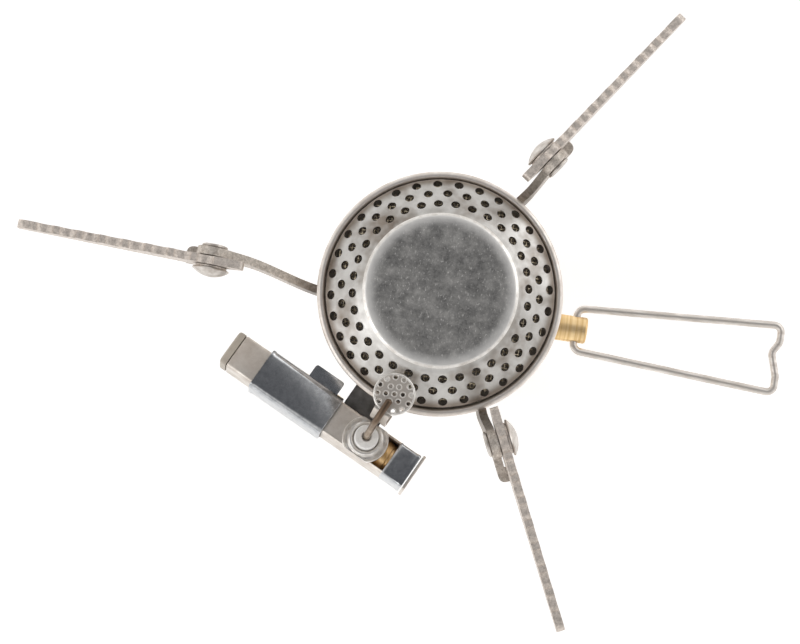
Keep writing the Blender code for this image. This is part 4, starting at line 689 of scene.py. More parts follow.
def strap(path, width, thickness, bm=None, matrix=None):
    """A flat strap across X, bent along a path of (y, z) points."""
    points = [Vector(point) for point in path]
    rings = []
    for i, point in enumerate(points):
        heading = (points[min(i + 1, len(points) - 1)] - points[max(i - 1, 0)]).normalized()
        off = Vector((-heading.y, heading.x)) * thickness / 2
        low, high = point - off, point + off
        half = width / 2
        rings.append(
            [(-half, low.x, low.y), (half, low.x, low.y), (half, high.x, high.y), (-half, high.x, high.y)]
        )
    return sweep(rings, bm, matrix)


def rectangle(x, half_width, half_height, corner):
    """A rectangle across X with rounded corners."""
    signs = ((1, 1), (-1, 1), (-1, -1), (1, -1))
    corners = [(side * half_width, up * half_height) for side, up in signs]
    return [(x, y, z) for y, z in rounded_outline(corners, corner)]


def channel(stations, half_width, half_height, wall, corner, bm=None):
    """A rectangular sheet tube along X. Each station is a place and how far it flares there."""
    outside = [
        rectangle(x, half_width + flare, half_height + flare, corner) for x, flare in stations
    ]
    inside = [
        rectangle(x, half_width + flare - wall, half_height + flare - wall, corner - wall / 2)
        for x, flare in reversed(stations)
    ]
    return sweep(outside + inside, bm, looped=True)


def bar(stations, half_width, half_height, corner, bm=None):
    """A solid rectangular bar along X. Each station is a place and how far it steps in there."""
    rings = [
        rectangle(x, half_width - inset, half_height - inset, corner) for x, inset in stations
    ]
    return sweep(rings, bm)


def hexagon(across_flats, bottom, top, bore, chamfer):
    """A hexagonal nut about Z with a bore and chamfered corners."""
    half = across_flats / 2
    round_radius = half / math.cos(math.pi / 6) - chamfer
    rings = []
    for i in range(72):
        angle = math.radians(5 * i)
        off = (angle + math.pi / 6) % (math.pi / 3) - math.pi / 6
        flat = half / math.cos(off)
        edge = min(flat, round_radius)
        drop = (flat - edge) * 0.6
        upper = [(bore, top), (edge, top), (flat, top - drop)]
        lower = [(flat, bottom + drop), (edge, bottom), (bore, bottom)]
        rings.append([(r * math.cos(angle), r * math.sin(angle), z) for r, z in upper + lower])
    return sweep(rings, looped=True)


def cut(piece, cutter, operation="DIFFERENCE"):
    """Applies a Boolean with a bmesh to a piece, so that no cutter stays in the scene."""
    mesh = bpy.data.meshes.new("cutter")
    bmesh.ops.recalc_face_normals(cutter, faces=cutter.faces)
    cutter.to_mesh(mesh)
    cutter.free()
    helper = bpy.data.objects.new("cutter", mesh)
    bpy.context.scene.collection.objects.link(helper)
    modifier = piece.modifiers.new("cut", "BOOLEAN")
    modifier.operation = operation
    modifier.object = helper
    bpy.context.view_layer.update()
    graph = bpy.context.evaluated_depsgraph_get()
    result = bpy.data.meshes.new_from_object(piece.evaluated_get(graph))
    if len(result.polygons) == 0:
        raise RuntimeError(f"the cut in {piece.name} left nothing")
    name = piece.data.name
    old = piece.data
    piece.modifiers.clear()
    piece.data = result
    bpy.data.meshes.remove(old)
    bpy.data.objects.remove(helper)
    bpy.data.meshes.remove(mesh)
    result.name = name
    smooth_faces(result)
    return piece


def rod(radius, start, end, steps=32, bm=None, matrix=None):
    return lathe([(0, start), (radius, start), (radius, end), (0, end)], steps, bm=bm, matrix=matrix)


ALONG_X = Matrix.Rotation(HALF_PI, 4, "Y")
ALONG_Y = Matrix.Rotation(-HALF_PI, 4, "X")
UPRIGHT = Matrix.Rotation(HALF_PI, 4, "X")


# ---------------------------------------------------------------- valve


class STOVE_OT_valve(bpy.types.Operator):
    """Makes the valve body, the gas jet and the gland nut"""

    bl_idname = "stove.valve"
    bl_label = "Valve"

    def execute(self, context):
        flange = mm(
            (-0.9, 0), (-0.1, 0.8), (0, 1.2), (0, 5.8), (-0.1, 6.2), (-0.9, 7), at=(FLANGE_RADIUS, 0)
        )
        shaft = mm((8.1, 7), (7.5, 7.6), (7.5, 11.4), (7.2, 11.7), (7.2, 12.2), (7.5, 12.5))
        profile = [
            *mm((0, 9), (5, 9), (5.55, 8.4), (5.55, 0.5), (6.05, 0)),
            *flange,
            *shaft,
            *mm((7.5, 24.4), (6.9, 25), (4.2, 25)),
            *mm((4.2, -0.4), (3.8, 0), (0, 0), at=(0, NECK_TOP)),
        ]
        bm = lathe(profile, steps=KNURL_STEPS)
        # A straight knurl round the flange, which the hand turns to screw the stove on.
        for vertex in bm.verts:
            reach = math.hypot(vertex.co.x, vertex.co.y)
            angle = math.degrees(math.atan2(vertex.co.y, vertex.co.x))
            if reach > FLANGE_RADIUS - 0.05 * MM and round(angle / (360 / KNURL_STEPS)) % 2:
                vertex.co.xy *= 1 - KNURL_DEPTH / reach
        body = add_piece("valve_body", bm, "brass")
        at_spindle = Matrix.Translation((0, 0, SPINDLE_HEIGHT)) @ ALONG_X
        boss = mm((0, 0), (5.6, 0), (5.6, 12.4), (5, 13), (0, 13))
        cut(body, lathe(boss, 64, matrix=at_spindle), "UNION")
        cut(body, rod(3.9 * MM, 7.6 * MM, 15 * MM, 48, matrix=at_spindle))

        jet = hexagon(6 * MM, JET_TOP - 3 * MM, JET_TOP, 0.35 * MM, 0.4 * MM)
        add_piece("gas_jet", jet, "brass")
        gland = hexagon(10 * MM, 13.3 * MM, 17.3 * MM, 2.1 * MM, 0.6 * MM)
        add_piece("gland_nut", gland, "brass_rod", transform=at_spindle)
        return {"FINISHED"}


# ---------------------------------------------------------------- burner


def cone_height(radius):
    return CONE_EDGE_HEIGHT + (CONE_EDGE_RADIUS - radius) * math.tan(CONE_SLOPE)


def on_square(j):
    """The j-th of 16 places round a square from -1 to 1, starting at its corner (1, 1)."""
    side, t = j // (HOLE_SIDES // 4), (j % 4) / 2
    return ((1 - t, 1), (-1, 1 - t), (t - 1, -1), (1, t - 1))[side]


def flame_hole_cells(bm, hole_radius):
    """The perforated cone: a square of faces round each flame hole, in three staggered rows."""
    pitch = 2 * math.pi / HOLES_PER_ROW
    outward = Vector((math.cos(CONE_SLOPE), 0, -math.sin(CONE_SLOPE)))
    normal = Vector((math.sin(CONE_SLOPE), 0, math.cos(CONE_SLOPE)))
    lips = ((0.26 * MM, 0), (0.09 * MM, 0.02 * MM), (0, 0.1 * MM))
    for row, middle in enumerate(HOLE_ROW_RADII):
        outer, inner = HOLE_ROW_EDGES[row], HOLE_ROW_EDGES[row + 1]
        centre = Vector((middle, 0, cone_height(middle)))
        rings = [[]]
        for j in range(HOLE_SIDES):
            u, v = on_square(j)
            reach = inner + (outer - inner) * (v + 1) / 2
            angle = u * pitch / 2
            rings[0].append(
                Vector((reach * math.cos(angle), reach * math.sin(angle), cone_height(reach)))
            )
        for wider, drop in lips:
            angles = [math.radians(45 + 360 / HOLE_SIDES * j) for j in range(HOLE_SIDES)]
            rings.append(
                [
                    centre
                    + Vector((0, 1, 0)) * (hole_radius + wider) * math.cos(a)
                    + outward * (hole_radius + wider) * math.sin(a)
                    - normal * drop
                    for a in angles
                ]
            )
        for i in range(HOLES_PER_ROW):
            turn = Matrix.Rotation(HOLE_START + pitch * (i + (row % 2) / 2), 3, "Z")
            rows = [[bm.verts.new(turn @ point) for point in ring] for ring in rings]
            for near, far in zip(rows, rows[1:]):
                for j in range(HOLE_SIDES):
                    bm.faces.new((far[j - 1], far[j], near[j], near[j - 1]))


def burner_plate_shape(hole_radius):
    """The plate's top: a skirt, the perforated cone and a raised, slightly dished centre."""
    bm = bmesh.new()
    flame_hole_cells(bm, hole_radius)
    top, height = CONE_TOP_RADIUS, cone_height(CONE_TOP_RADIUS)
    shoulder = mm(
        (0, 0), (-0.5, 0.2), (-0.95, 0.36), (-1.25, 0.54), (-1.6, 0.82), (-1.9, 0.98), at=(top, height)
    )
    dish = mm(
        (-2.3, 1.06), (-3, 1.12), (-4, 1.14), (-7, 1.06), (-11, 0.9), (-15.5, 0.8), at=(top, height)
    )
    inner_profile = [*shoulder, *dish, (0, height + 0.78 * MM)]
    outer_profile = mm((0.02, -1.9), (0.02, -0.5), (0, 0), at=(CONE_EDGE_RADIUS, CONE_EDGE_HEIGHT))
    steps = 4 * HOLES_PER_ROW
    start = HOLE_START + math.pi / HOLES_PER_ROW
    for profile in (inner_profile, outer_profile):
        rings = []
        for i in range(steps):
            angle = start + 2 * math.pi * i / steps
            across, up = math.cos(angle), math.sin(angle)
            rings.append([bm.verts.new((r * across, r * up, z)) for r, z in profile])
        for i in range(steps):
            near, far = rings[i - 1], rings[i]
            for j in range(1, len(profile)):
                face = bm.faces.new((near[j - 1], far[j - 1], far[j], near[j]))
                reach = profile[j - 1][0]
                if reach < top - 1.0 * MM:
                    # Finish 2, paler, is a painted highlight on the bend round the centre, and 1 is the
                    # scuffed centre.
                    face.material_index = 1 if reach < top - 1.8 * MM else 2
    bmesh.ops.remove_doubles(bm, verts=bm.verts, dist=2e-6)
    bmesh.ops.recalc_face_normals(bm, faces=bm.faces)
    highest = max(bm.faces, key=lambda face: face.calc_center_median().z)
    if highest.normal.z < 0:
        bmesh.ops.reverse_faces(bm, faces=bm.faces)
    return bm


def gauze_shape(pitch, wire_radius):
    """Woven wires under the flame holes, following the cone from below."""
    bm = bmesh.new()
    inner, outer = CONE_TOP_RADIUS + 0.6 * MM, CONE_EDGE_RADIUS - 1.5 * MM
    count = math.ceil(outer / pitch)
    for direction in (0, 1):
        for k in range(-count, count + 1):
            run = []
            for m in range(-2 * count, 2 * count + 2):
                offset, at = k * pitch, m * pitch / 2
                reach = math.hypot(offset, at)
                if inner < reach < outer:
                    side = 0 if m % 2 else (1 if (k + m // 2 + direction) % 2 else -1)
                    z = cone_height(reach) - GAUZE_BELOW_CONE + side * wire_radius
                    run.append((offset, at, z) if direction else (at, offset, z))
                    continue
                if len(run) > 2:
                    wire_along(run, wire_radius, 5, bm, rounded_ends=False)
                run = []
    return bm


class STOVE_OT_burner(bpy.types.Operator):
    """Makes the burner plate, its gauze, the cup, the nut, the hub and the mixing tube"""

    bl_idname = "stove.burner"
    bl_label = "Burner"

    def execute(self, context):
        settings = context.scene.stove_burner
        shape = burner_plate_shape(settings.flame_hole_radius)
        top = add_piece("burner_plate", shape, "plate scuffed bright", closed=False)
        sheet = top.modifiers.new("sheet", "SOLIDIFY")
        sheet.thickness = settings.plate_sheet
        sheet.offset = -1
        smoothing = top.modifiers.new("smoothing", "SUBSURF")
        smoothing.levels = smoothing.render_levels = 1

        gauze = gauze_shape(settings.gauze_pitch, settings.gauze_wire_radius)
        add_piece("gauze_ring", gauze, "gauze")

        floor_top = CUP_BOTTOM + CUP_SHEET
        bead = 1 * MM
        cup = [
            (CLAMP_HOLE_RADIUS, CUP_BOTTOM),
            *mm((-0.8, 0), (-0.2, 0.2), (0.35, 0.75), at=(CUP_FLOOR_RADIUS, CUP_BOTTOM)),
            *arc((RIM_RADIUS - bead, RIM_TOP - bead), bead, -129, 168, 20),
            *mm((-0.35, 0.55), (-0.75, 0.1), (-1.3, 0), at=(CUP_FLOOR_RADIUS, floor_top)),
            (CLAMP_HOLE_RADIUS, floor_top),
        ]
        add_piece("burner_cup", lathe(cup, 128, closed=True), "spun")
        hub = [
            (CLAMP_HOLE_RADIUS, HUB_BOTTOM),
            *mm((-0.3, 0), (0, 0.3), at=(HUB_RADIUS, HUB_BOTTOM)),
            *mm((0, -0.3), (-0.3, 0), at=(HUB_RADIUS, HUB_TOP)),
            (CLAMP_HOLE_RADIUS, HUB_TOP),
        ]
        add_piece("support_hub", lathe(hub, 96, closed=True), "tumbled")
        nut_bottom = floor_top + GAP
        nut = hexagon(15 * MM, nut_bottom, nut_bottom + 3 * MM, CLAMP_HOLE_RADIUS, 0.8 * MM)
        add_piece("cup_nut", nut, "stamped")

        shoulder_bottom = CLAMP_TOP - SHOULDER_THICKNESS
        tube = [
            (TUBE_BORE, TUBE_BOTTOM),
            *mm((-0.3, 0), (0, 0.3), at=(TUBE_RADIUS, TUBE_BOTTOM)),
            (TUBE_RADIUS, shoulder_bottom),
            *mm((-0.3, 0), (0, 0.3), at=(SHOULDER_RADIUS, shoulder_bottom)),
            (SHOULDER_RADIUS, CLAMP_TOP),
            (TUBE_RADIUS, CLAMP_TOP),
            *mm((0, -0.3), (-0.3, 0), at=(TUBE_RADIUS, TUBE_TOP)),
            (TUBE_BORE, TUBE_TOP),
        ]
        mixing_tube = add_piece(
            "mixing_tube", lathe(tube, 64, closed=True), "stamped"
        )
        air_holes = Matrix.Translation((0, 0, JET_TOP + 1.2 * MM))
        for angle in (45, 135):
            through = air_holes @ Matrix.Rotation(math.radians(angle), 4, "Z") @ ALONG_X
            cut(mixing_tube, rod(AIR_HOLE_RADIUS, -9 * MM, 9 * MM, 40, matrix=through))
        bevel(mixing_tube, 0.15 * MM)
        return {"FINISHED"}


# ---------------------------------------------------------------- pot supports


def arm_frame(name):
    """The arm's frame, X outwards along it and Z up, and how far out and how high its rivet is."""
    joint = JOINTS[f"fold_{name}"]
    hinge, pivot = Vector(joint["axis"]), Vector(joint["pos_m"])
    outward = hinge.cross((0, 0, 1))
    if outward.dot(pivot) < 0:
        outward.negate()
    turn = Matrix.Rotation(math.atan2(outward.y, outward.x), 4, "Z")
    return turn, outward.dot(pivot), pivot.z


def bracket_outline(reach, pivot_height, hook_end):
    """A bracket's side view: level under the cup, up past the rim, round the rivet, out to the hook."""
    half = BRACKET_HALF_DEPTH
    level = CLAMP_TOP - 0.5 * MM - half
    knee, pivot = Vector((BRACKET_KNEE, level)), Vector((reach, pivot_height))
    rise = (pivot - knee).normalized()
    left = Vector((-rise.y, rise.x))
    mitre = half * math.tan(math.atan2(rise.y, rise.x) / 2)
    hook_bottom = pivot_height - HOOK_BELOW_RIVET
    lower_start = knee - left * half
    hook_meets = lower_start + rise * ((hook_bottom - lower_start.y) / rise.y)
    eye_end = math.degrees(math.atan2(left.y, left.x))
    return [
        (BRACKET_ROOT, level - half),
        *arc((knee.x + mitre - 1.2 * MM, level - half + 3 * MM), 3 * MM, -90, -55, 4),
        tuple(hook_meets),
        *mm((-2.4, 0), (-2.4, 2), at=(reach + hook_end, hook_bottom)),
        *arc(pivot, EYE_RADIUS, -40, eye_end, 18),
        tuple(pivot - rise * 2 * half + left * half),
        (knee.x - mitre, level + half),
        (BRACKET_ROOT, level + half),
    ]


def bracket_shape(reach, pivot_height, root_side, jog_start, hook_end):
    """The strip on edge with its smooth jog, the hook under the blade, and the foot on the hub."""
    outline = bracket_outline(reach, pivot_height, hook_end)
    hole = circle((reach, pivot_height), RIVET_RADIUS + GAP)
    half = BRACKET_THICKNESS / 2
    bm = plate([outline, hole], -half, half, matrix=UPRIGHT)
    start, end = jog_start - 1.5 * MM, reach - 6.5 * MM
    for i in range(15):
        place = start + (end - start) * i / 14
        everything = bm.verts[:] + bm.edges[:] + bm.faces[:]
        bmesh.ops.bisect_plane(bm, geom=everything, plane_co=(place, 0, 0), plane_no=(1, 0, 0))
    for vertex in bm.verts:
        share = min(max((vertex.co.x - start) / (end - start), 0), 1)
        share = share * share * (3 - 2 * share)
        vertex.co.y += root_side + (BRACKET_SIDE - root_side) * share
    tip, near, far = reach + hook_end, BRACKET_SIDE - half, BRACKET_SIDE + half
    hook = [
        *mm((-4.4, 0, 0.05), (0, 0, 2.7), at=(tip, near)),
        *mm((0, 0, 0.4), (-3.6, 0, 0.4), at=(tip, BLADE_SIDE + half)),
        *mm((-3.6, 0, 0.4), (-4.4, 0, 0.05), at=(tip, far)),
    ]
    hook_bottom = pivot_height - HOOK_BELOW_RIVET
    plate([rounded_outline(hook, 0.3 * MM, steps=6)], hook_bottom, hook_bottom + 2 * MM, bm)
    foot = mm(
        (0, -8.5), (9.5, -8.5), (9.5, -0.3, 0.2), (0, -0.3, 0.2), at=(BRACKET_ROOT, root_side + half)
    )
    return plate([rounded_outline(foot, 1.5 * MM)], CLAMP_TOP - 2 * MM, CLAMP_TOP, bm)


def scallop(start, end, top, depth):
    """A hollow between two teeth with softly rounded lips, drawn from its far side to its near one."""
    half = (start - end) / 2
    middle = (start + end) / 2
    return [
        (middle + half * math.cos(a), top - depth * math.sin(a) ** 1.4)
        for a in (math.pi * i / 12 for i in range(13))
    ]


def blade_outline(depth):
    """A blade's side view about its rivet: the teeth on top and a lower edge that rises to the tip."""
    corner = 1.9 * MM
    outline = [
        (BLADE_REACH, 0.8 * MM),
        *arc((BLADE_REACH - corner, BLADE_TOP - corner), corner, 0, 90, 8),
    ]
    near = BLADE_REACH - 4.9 * MM
    for _ in range(TEETH):
        outline += scallop(near, near - SCALLOP_LENGTH, BLADE_TOP, depth)
        near -= TOOTH_PITCH
    outline += arc((-7 * MM, 4 * MM), 1 * MM, 90, 180, 5) + mm((-8, 2.5))
    return outline + arc((0, 0), 3.5 * MM, -130, -90, 6) + mm((8, -3.5))


def rivet_profile():
    """A rivet through bracket and blade: a smooth dome outside and a flat head inside."""
    centre = DOME_START + DOME_HEIGHT - DOME_SPHERE
    dome = [(r, h) for h, r in arc((centre, 0), DOME_SPHERE, 0, 39, 12)]
    edge = mm((4.5, 0.3), (4.35, 0), at=(0, DOME_START))
    inner_head = mm((2.95, 0.35), (3.15, 0.15), (3.1, -0.2), (2.5, -0.42), (1.2, -0.45), (1, -0.3))
    shank = [(RIVET_RADIUS, DOME_START), (RIVET_RADIUS, 0.35 * MM)]
    return [*dome, *edge, *shank, *inner_head, (0, -0.25 * MM)]


class STOVE_OT_supports(bpy.types.Operator):
    """Makes the three pot supports: brackets, blades, rivets, washers, and the rivets of the feet"""

    bl_idname = "stove.supports"
    bl_label = "Pot supports"

    def execute(self, context):
        settings = context.scene.stove_supports
        half = settings.blade_thickness / 2
        for name, root_side, jog_start, hook_end in ARMS:
            turn, reach, height = arm_frame(name)
            pivot = turn @ Matrix.Translation((reach, 0, height))
            shape = bracket_shape(reach, height, root_side, jog_start, hook_end)
            bracket = add_piece(
                f"bracket_{name}", shape, "dulled", transform=turn
            )
            bevel(bracket, settings.edge_radius)
            outlines = [
                blade_outline(settings.scallop_depth),
                circle((0, 0), RIVET_RADIUS + GAP),
            ]
            blade = add_piece(
                f"blade_{name}",
                plate(outlines, -half, half, matrix=UPRIGHT),
                "tumbled",
                f"support_{name}",
                pivot @ Matrix.Translation((0, BLADE_SIDE, 0)),
            )
            bevel(blade, settings.edge_radius)
            washer = mm((2.3, 4.95), (3.8, 4.95), (3.8, 5.35), (2.3, 5.35))
            for part, shape, finish in (
                ("blade_rivet", lathe(rivet_profile(), 48), "domed"),
                ("spring_washer", lathe(washer, 48, closed=True), "tumbled"),
            ):
                add_piece(
                    f"{part}_{name}", shape, finish, transform=pivot @ ALONG_Y
                )
        for name in ("rear", "left", "right", "igniter"):
            low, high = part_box(f"foot_rivet_{name}")
            centre = (low + high) / 2
            head = (high.x - low.x) / 2
            head_top = low.z + 0.8 * MM
            profile = [
                *mm((0, 0), (1.2, 0), (1.4, -0.2), at=(0, high.z)),
                (1.4 * MM, head_top),
                (head, head_top),
                (head, head_top - 0.15 * MM),
                (0.85 * head, low.z + 0.2 * MM),
                (0.5 * head, low.z + 0.03 * MM),
                (0, low.z),
            ]
            place = Matrix.Translation((centre.x, centre.y, 0))
            add_piece(
                f"foot_rivet_{name}", lathe(profile, 32), "tumbled", transform=place
            )
        return {"FINISHED"}


# ---------------------------------------------------------------- control


class STOVE_OT_control(bpy.types.Operator):
    """Makes the control knob and its folding wire handle"""

    bl_idname = "stove.control"
    bl_label = "Control"

    def execute(self, context):
        settings = context.scene.stove_handle
        groove = mm(
            (0, 2.2), (-0.35, 2.5), (-0.35, 3.1), (0, 3.4), at=(KNOB_RADIUS, KNOB_START)
        )
        profile = [
            (0, KNOB_START),
            *mm((-0.4, 0), (0, 0.4), at=(KNOB_RADIUS, KNOB_START)),
            *groove,
            *mm((0, -0.4), (-0.4, 0), at=(KNOB_RADIUS, KNOB_END)),
            *mm((0.6, 0), (0, -0.35), at=(0, KNOB_END)),
        ]
        knob = add_piece(
            "control_knob",
            lathe(profile, 64, matrix=ALONG_X),
            "brass_rod",
            "control",
            Matrix.Translation((0, 0, SPINDLE_HEIGHT)),
        )
        at_hinge = Matrix.Translation((HANDLE_HINGE, 0, SPINDLE_HEIGHT))
        cut(knob, rod(1.3 * MM, -6 * MM, 6 * MM, 32, matrix=at_hinge @ ALONG_Y))
        bevel(knob, 0.15 * MM)

        wire = settings.wire_radius
        reach = HANDLE_END - wire - HANDLE_HINGE
        tip = HANDLE_HALF_WIDTH - wire
        root = 5.6 * MM
        route = [
            (0, 1 * MM, 0),
            (0, root, 0),
            (reach, tip, 0),
            (reach, tip / 2, 0),
            (reach - 1.8 * MM, tip / 6, 0),
            (reach, -tip / 2, 0),
            (reach, -tip, 0),
            (0, -root, 0),
            (0, -1 * MM, 0),
        ]
        loop = wire_along(rounded_path(route, settings.bend_radius), wire, 20)
        add_piece("handle_wire", loop, "wire", "handle", at_hinge)
        return {"FINISHED"}


# ---------------------------------------------------------------- igniter


def pressed_dish(bm):
    """The dish pressed into the housing round the insulator: a raised edge, a creased valley, a boss."""
    boss = mm((3.3, -0.3), (3.3, 0.42), (3.5, 0.5), (4.15, 0.5), (4.4, 0.32))
    valley = mm((4.5, 0.06), (4.85, 0.02), (5.2, 0.08), (5.4, 0.26), (5.6, 0.3))
    edge = mm((0.12, 0.18), (0.2, -0.02), (0.2, -0.3), at=(DISH_RADIUS, 0))
    ring = lathe(boss + valley + edge, 96, closed=True)
    limit = HOUSING_HALF_WIDTH - 0.02 * MM
    for vertex in ring.verts:
        reach = math.hypot(vertex.co.x, vertex.co.y)
        if 4.45 * MM < reach < 5.3 * MM and vertex.co.z > 0:
            creases = math.cos(9 * math.atan2(vertex.co.y, vertex.co.x))
            vertex.co.z += 0.06 * MM * creases
        vertex.co.y = min(max(vertex.co.y, -limit), limit)
    bmesh.ops.translate(ring, vec=(BOSS_ALONG, 0, HOUSING_HALF_HEIGHT), verts=ring.verts)
    mesh = bpy.data.meshes.new("dish")
    ring.to_mesh(mesh)
    ring.free()
    bm.from_mesh(mesh)
    bm.faces.ensure_lookup_table()
    bpy.data.meshes.remove(mesh)


def housing_shape():
    """The inner channel, open over the piezo cylinder, with a ridged strap at its closed end."""
    stations = [
        *mm((0, -0.1), (0.15, 0), at=(HOUSING_START, 0)),
        *mm((0, 0), (0.3, 0.14), (0.8, 0), at=(WINDOW_END, 0)),
        *mm((-1.1, 0), (-0.6, 0.14), (0, 0), at=(HOUSING_END, 0)),
    ]
    return channel(stations, HOUSING_HALF_WIDTH, HOUSING_HALF_HEIGHT, 0.6 * MM, 0.8 * MM)


def window_cutter():
    """What opens the housing between the dish's edge and the strap."""
    side = HOUSING_HALF_WIDTH - 0.62 * MM
    half_angle = math.degrees(math.asin(side / DISH_RADIUS))
    outline = arc((BOSS_ALONG, 0), DISH_RADIUS, -half_angle, half_angle, 14)
    outline += [(WINDOW_END, side), (WINDOW_END, -side)]
    return plate([outline], HOUSING_HALF_HEIGHT - 1.4 * MM, HOUSING_HALF_HEIGHT + 2 * MM)


def cover_shape():
    """The sliding cover: a wide sheet tube with a rolled lip, and the ear that stands off its side."""
    stations = [
        *mm((0, -0.12), (0.15, 0.1), (0.7, 0.14), (1.2, 0), at=(COVER_START, 0)),
        *mm((-0.2, 0), (0, -0.1), at=(COVER_END, 0)),
    ]
    bm = channel(stations, COVER_HALF_WIDTH, COVER_HALF_HEIGHT, 0.5 * MM, 1.7 * MM)
    ear = mm(
        (-15.5, -0.3, 0.05), (-7, -0.3, 0.05), (-7, 3.2, 0.8), (-15.5, 3.2, 0.8), at=(0, COVER_HALF_WIDTH)
    )
    outline = rounded_outline(ear, 0.5 * MM)
    return plate([outline], COVER_HALF_HEIGHT - 1.0 * MM, COVER_HALF_HEIGHT - 0.5 * MM, bm)


def spark_disc_shape(hole_radius):
    """The earthed disc over the rim, its holes with pressed rims, and the neck down to the stay."""
    holes = [(0.0, 0.0)]
    for ring in (1, 2):
        holes += arc((0, 0), 2.05 * MM * ring, 30, 390, 6 * ring)[:-1]
    outlines = [circle((0, 0), 4.95 * MM, 64)] + [circle(spot, hole_radius, 14) for spot in holes]
    half = 0.3 * MM
    bm = plate(outlines, -half, half)
    flat_faces = len(bm.faces)
    for x, y in holes:
        rim = arc((hole_radius + 0.14 * MM, half), 0.17 * MM, 0, 360, 8)[:-1]
        lathe(rim, 16, closed=True, bm=bm, matrix=Matrix.Translation((x, y, 0)))
    lathe(arc((4.8 * MM, 0), 0.35 * MM, 0, 360, 12)[:-1], 64, closed=True, bm=bm)
    bm.faces.ensure_lookup_table()
    # Painted highlight: finish 1, the paler steel, goes on the pressed rims of the holes and the disc's
    # raised edge.
    for face in bm.faces[flat_faces:]:
        face.material_index = 1
    bmesh.ops.translate(bm, vec=SPARK_DISC_CENTRE, verts=bm.verts)
    side = IGNITER_LEAN @ Vector((0, HOUSING_HALF_WIDTH + GAP, HOUSING_HALF_HEIGHT))
    leg = side.y + 0.7 * MM
    foot_height = IGNITER_HEIGHT + GAP + 0.35 * MM
    disc_near = SPARK_DISC_CENTRE.y - SPARK_DISC_REACH
    route = [
        (leg + 3 * MM, foot_height, 0),
        (leg, foot_height, 0),
        (leg, RIM_TOP + 1 * MM, 0),
        (disc_near - 0.4 * MM, SPARK_DISC_CENTRE.z, 0),
        (disc_near + 0.5 * MM, SPARK_DISC_CENTRE.z, 0),
    ]
    path = [point.xy for point in rounded_path(route, 1 * MM, 5)]
    return strap(path, 4.4 * MM, 0.6 * MM, bm, Matrix.Translation((BOSS_ALONG, 0, 0)))


def electrode_path():
    """The live wire's middle: up out of the insulator, over, and down to the disc's middle."""
    insulator_top = HOUSING_HALF_HEIGHT + INSULATOR_ABOVE_HOUSING
    disc_top = SPARK_DISC_CENTRE.z + 0.35 * MM
    tip = Vector((BOSS_ALONG, 1.05 * MM - RIM_RADIUS, disc_top + 1.85 * MM))
    near_disc = SPARK_DISC_CENTRE.y - 1.5 * SPARK_DISC_REACH
    route = [
        IGNITER_LEAN @ Vector((BOSS_ALONG, 0, HOUSING_HALF_HEIGHT + 1 * MM)),
        IGNITER_LEAN @ Vector((BOSS_ALONG, 0, insulator_top + 4 * MM)),
        Vector((BOSS_ALONG, near_disc, tip.z - 1 * MM)),
        tip,
    ]
    return rounded_path(route, 4 * MM, 8)


def stay_shape():
    """The sheet stay from the hub out to the housing, and its flange against the housing's side."""
    start = COVER_END + GAP
    end = start + 10.5 * MM
    half = 0.6 * MM
    flange_middle = HOUSING_HALF_WIDTH + GAP + half
    plate_end = (IGNITER_LEAN @ Vector((0, flange_middle, 0))).y
    widening = -HUB_RADIUS
    outline = [
        (-4.5 * MM, -BRACKET_ROOT),
        (-4.5 * MM, widening, 2 * MM),
        (start, widening - 4 * MM, 1 * MM),
        (start, plate_end, 0.1 * MM),
        (end, plate_end, 0.1 * MM),
        (end, widening - 6 * MM, 2 * MM),
        (4.5 * MM, widening, 3 * MM),
        (4.5 * MM, -BRACKET_ROOT),
    ]
    bm = plate([rounded_outline(outline, 0.5 * MM)], IGNITER_HEIGHT - 1.2 * MM, IGNITER_HEIGHT)
    flange = [
        (start, -4.4 * MM, 1 * MM),
        (end, -4.4 * MM, 1 * MM),
        (end, -0.1 * MM, 0.1 * MM),
        (start, -0.1 * MM, 0.1 * MM),
    ]
    stand = IGNITER_LEAN @ Matrix.Translation((0, flange_middle, 0)) @ UPRIGHT
    return plate([rounded_outline(flange, 1 * MM)], -half, half, bm, stand)


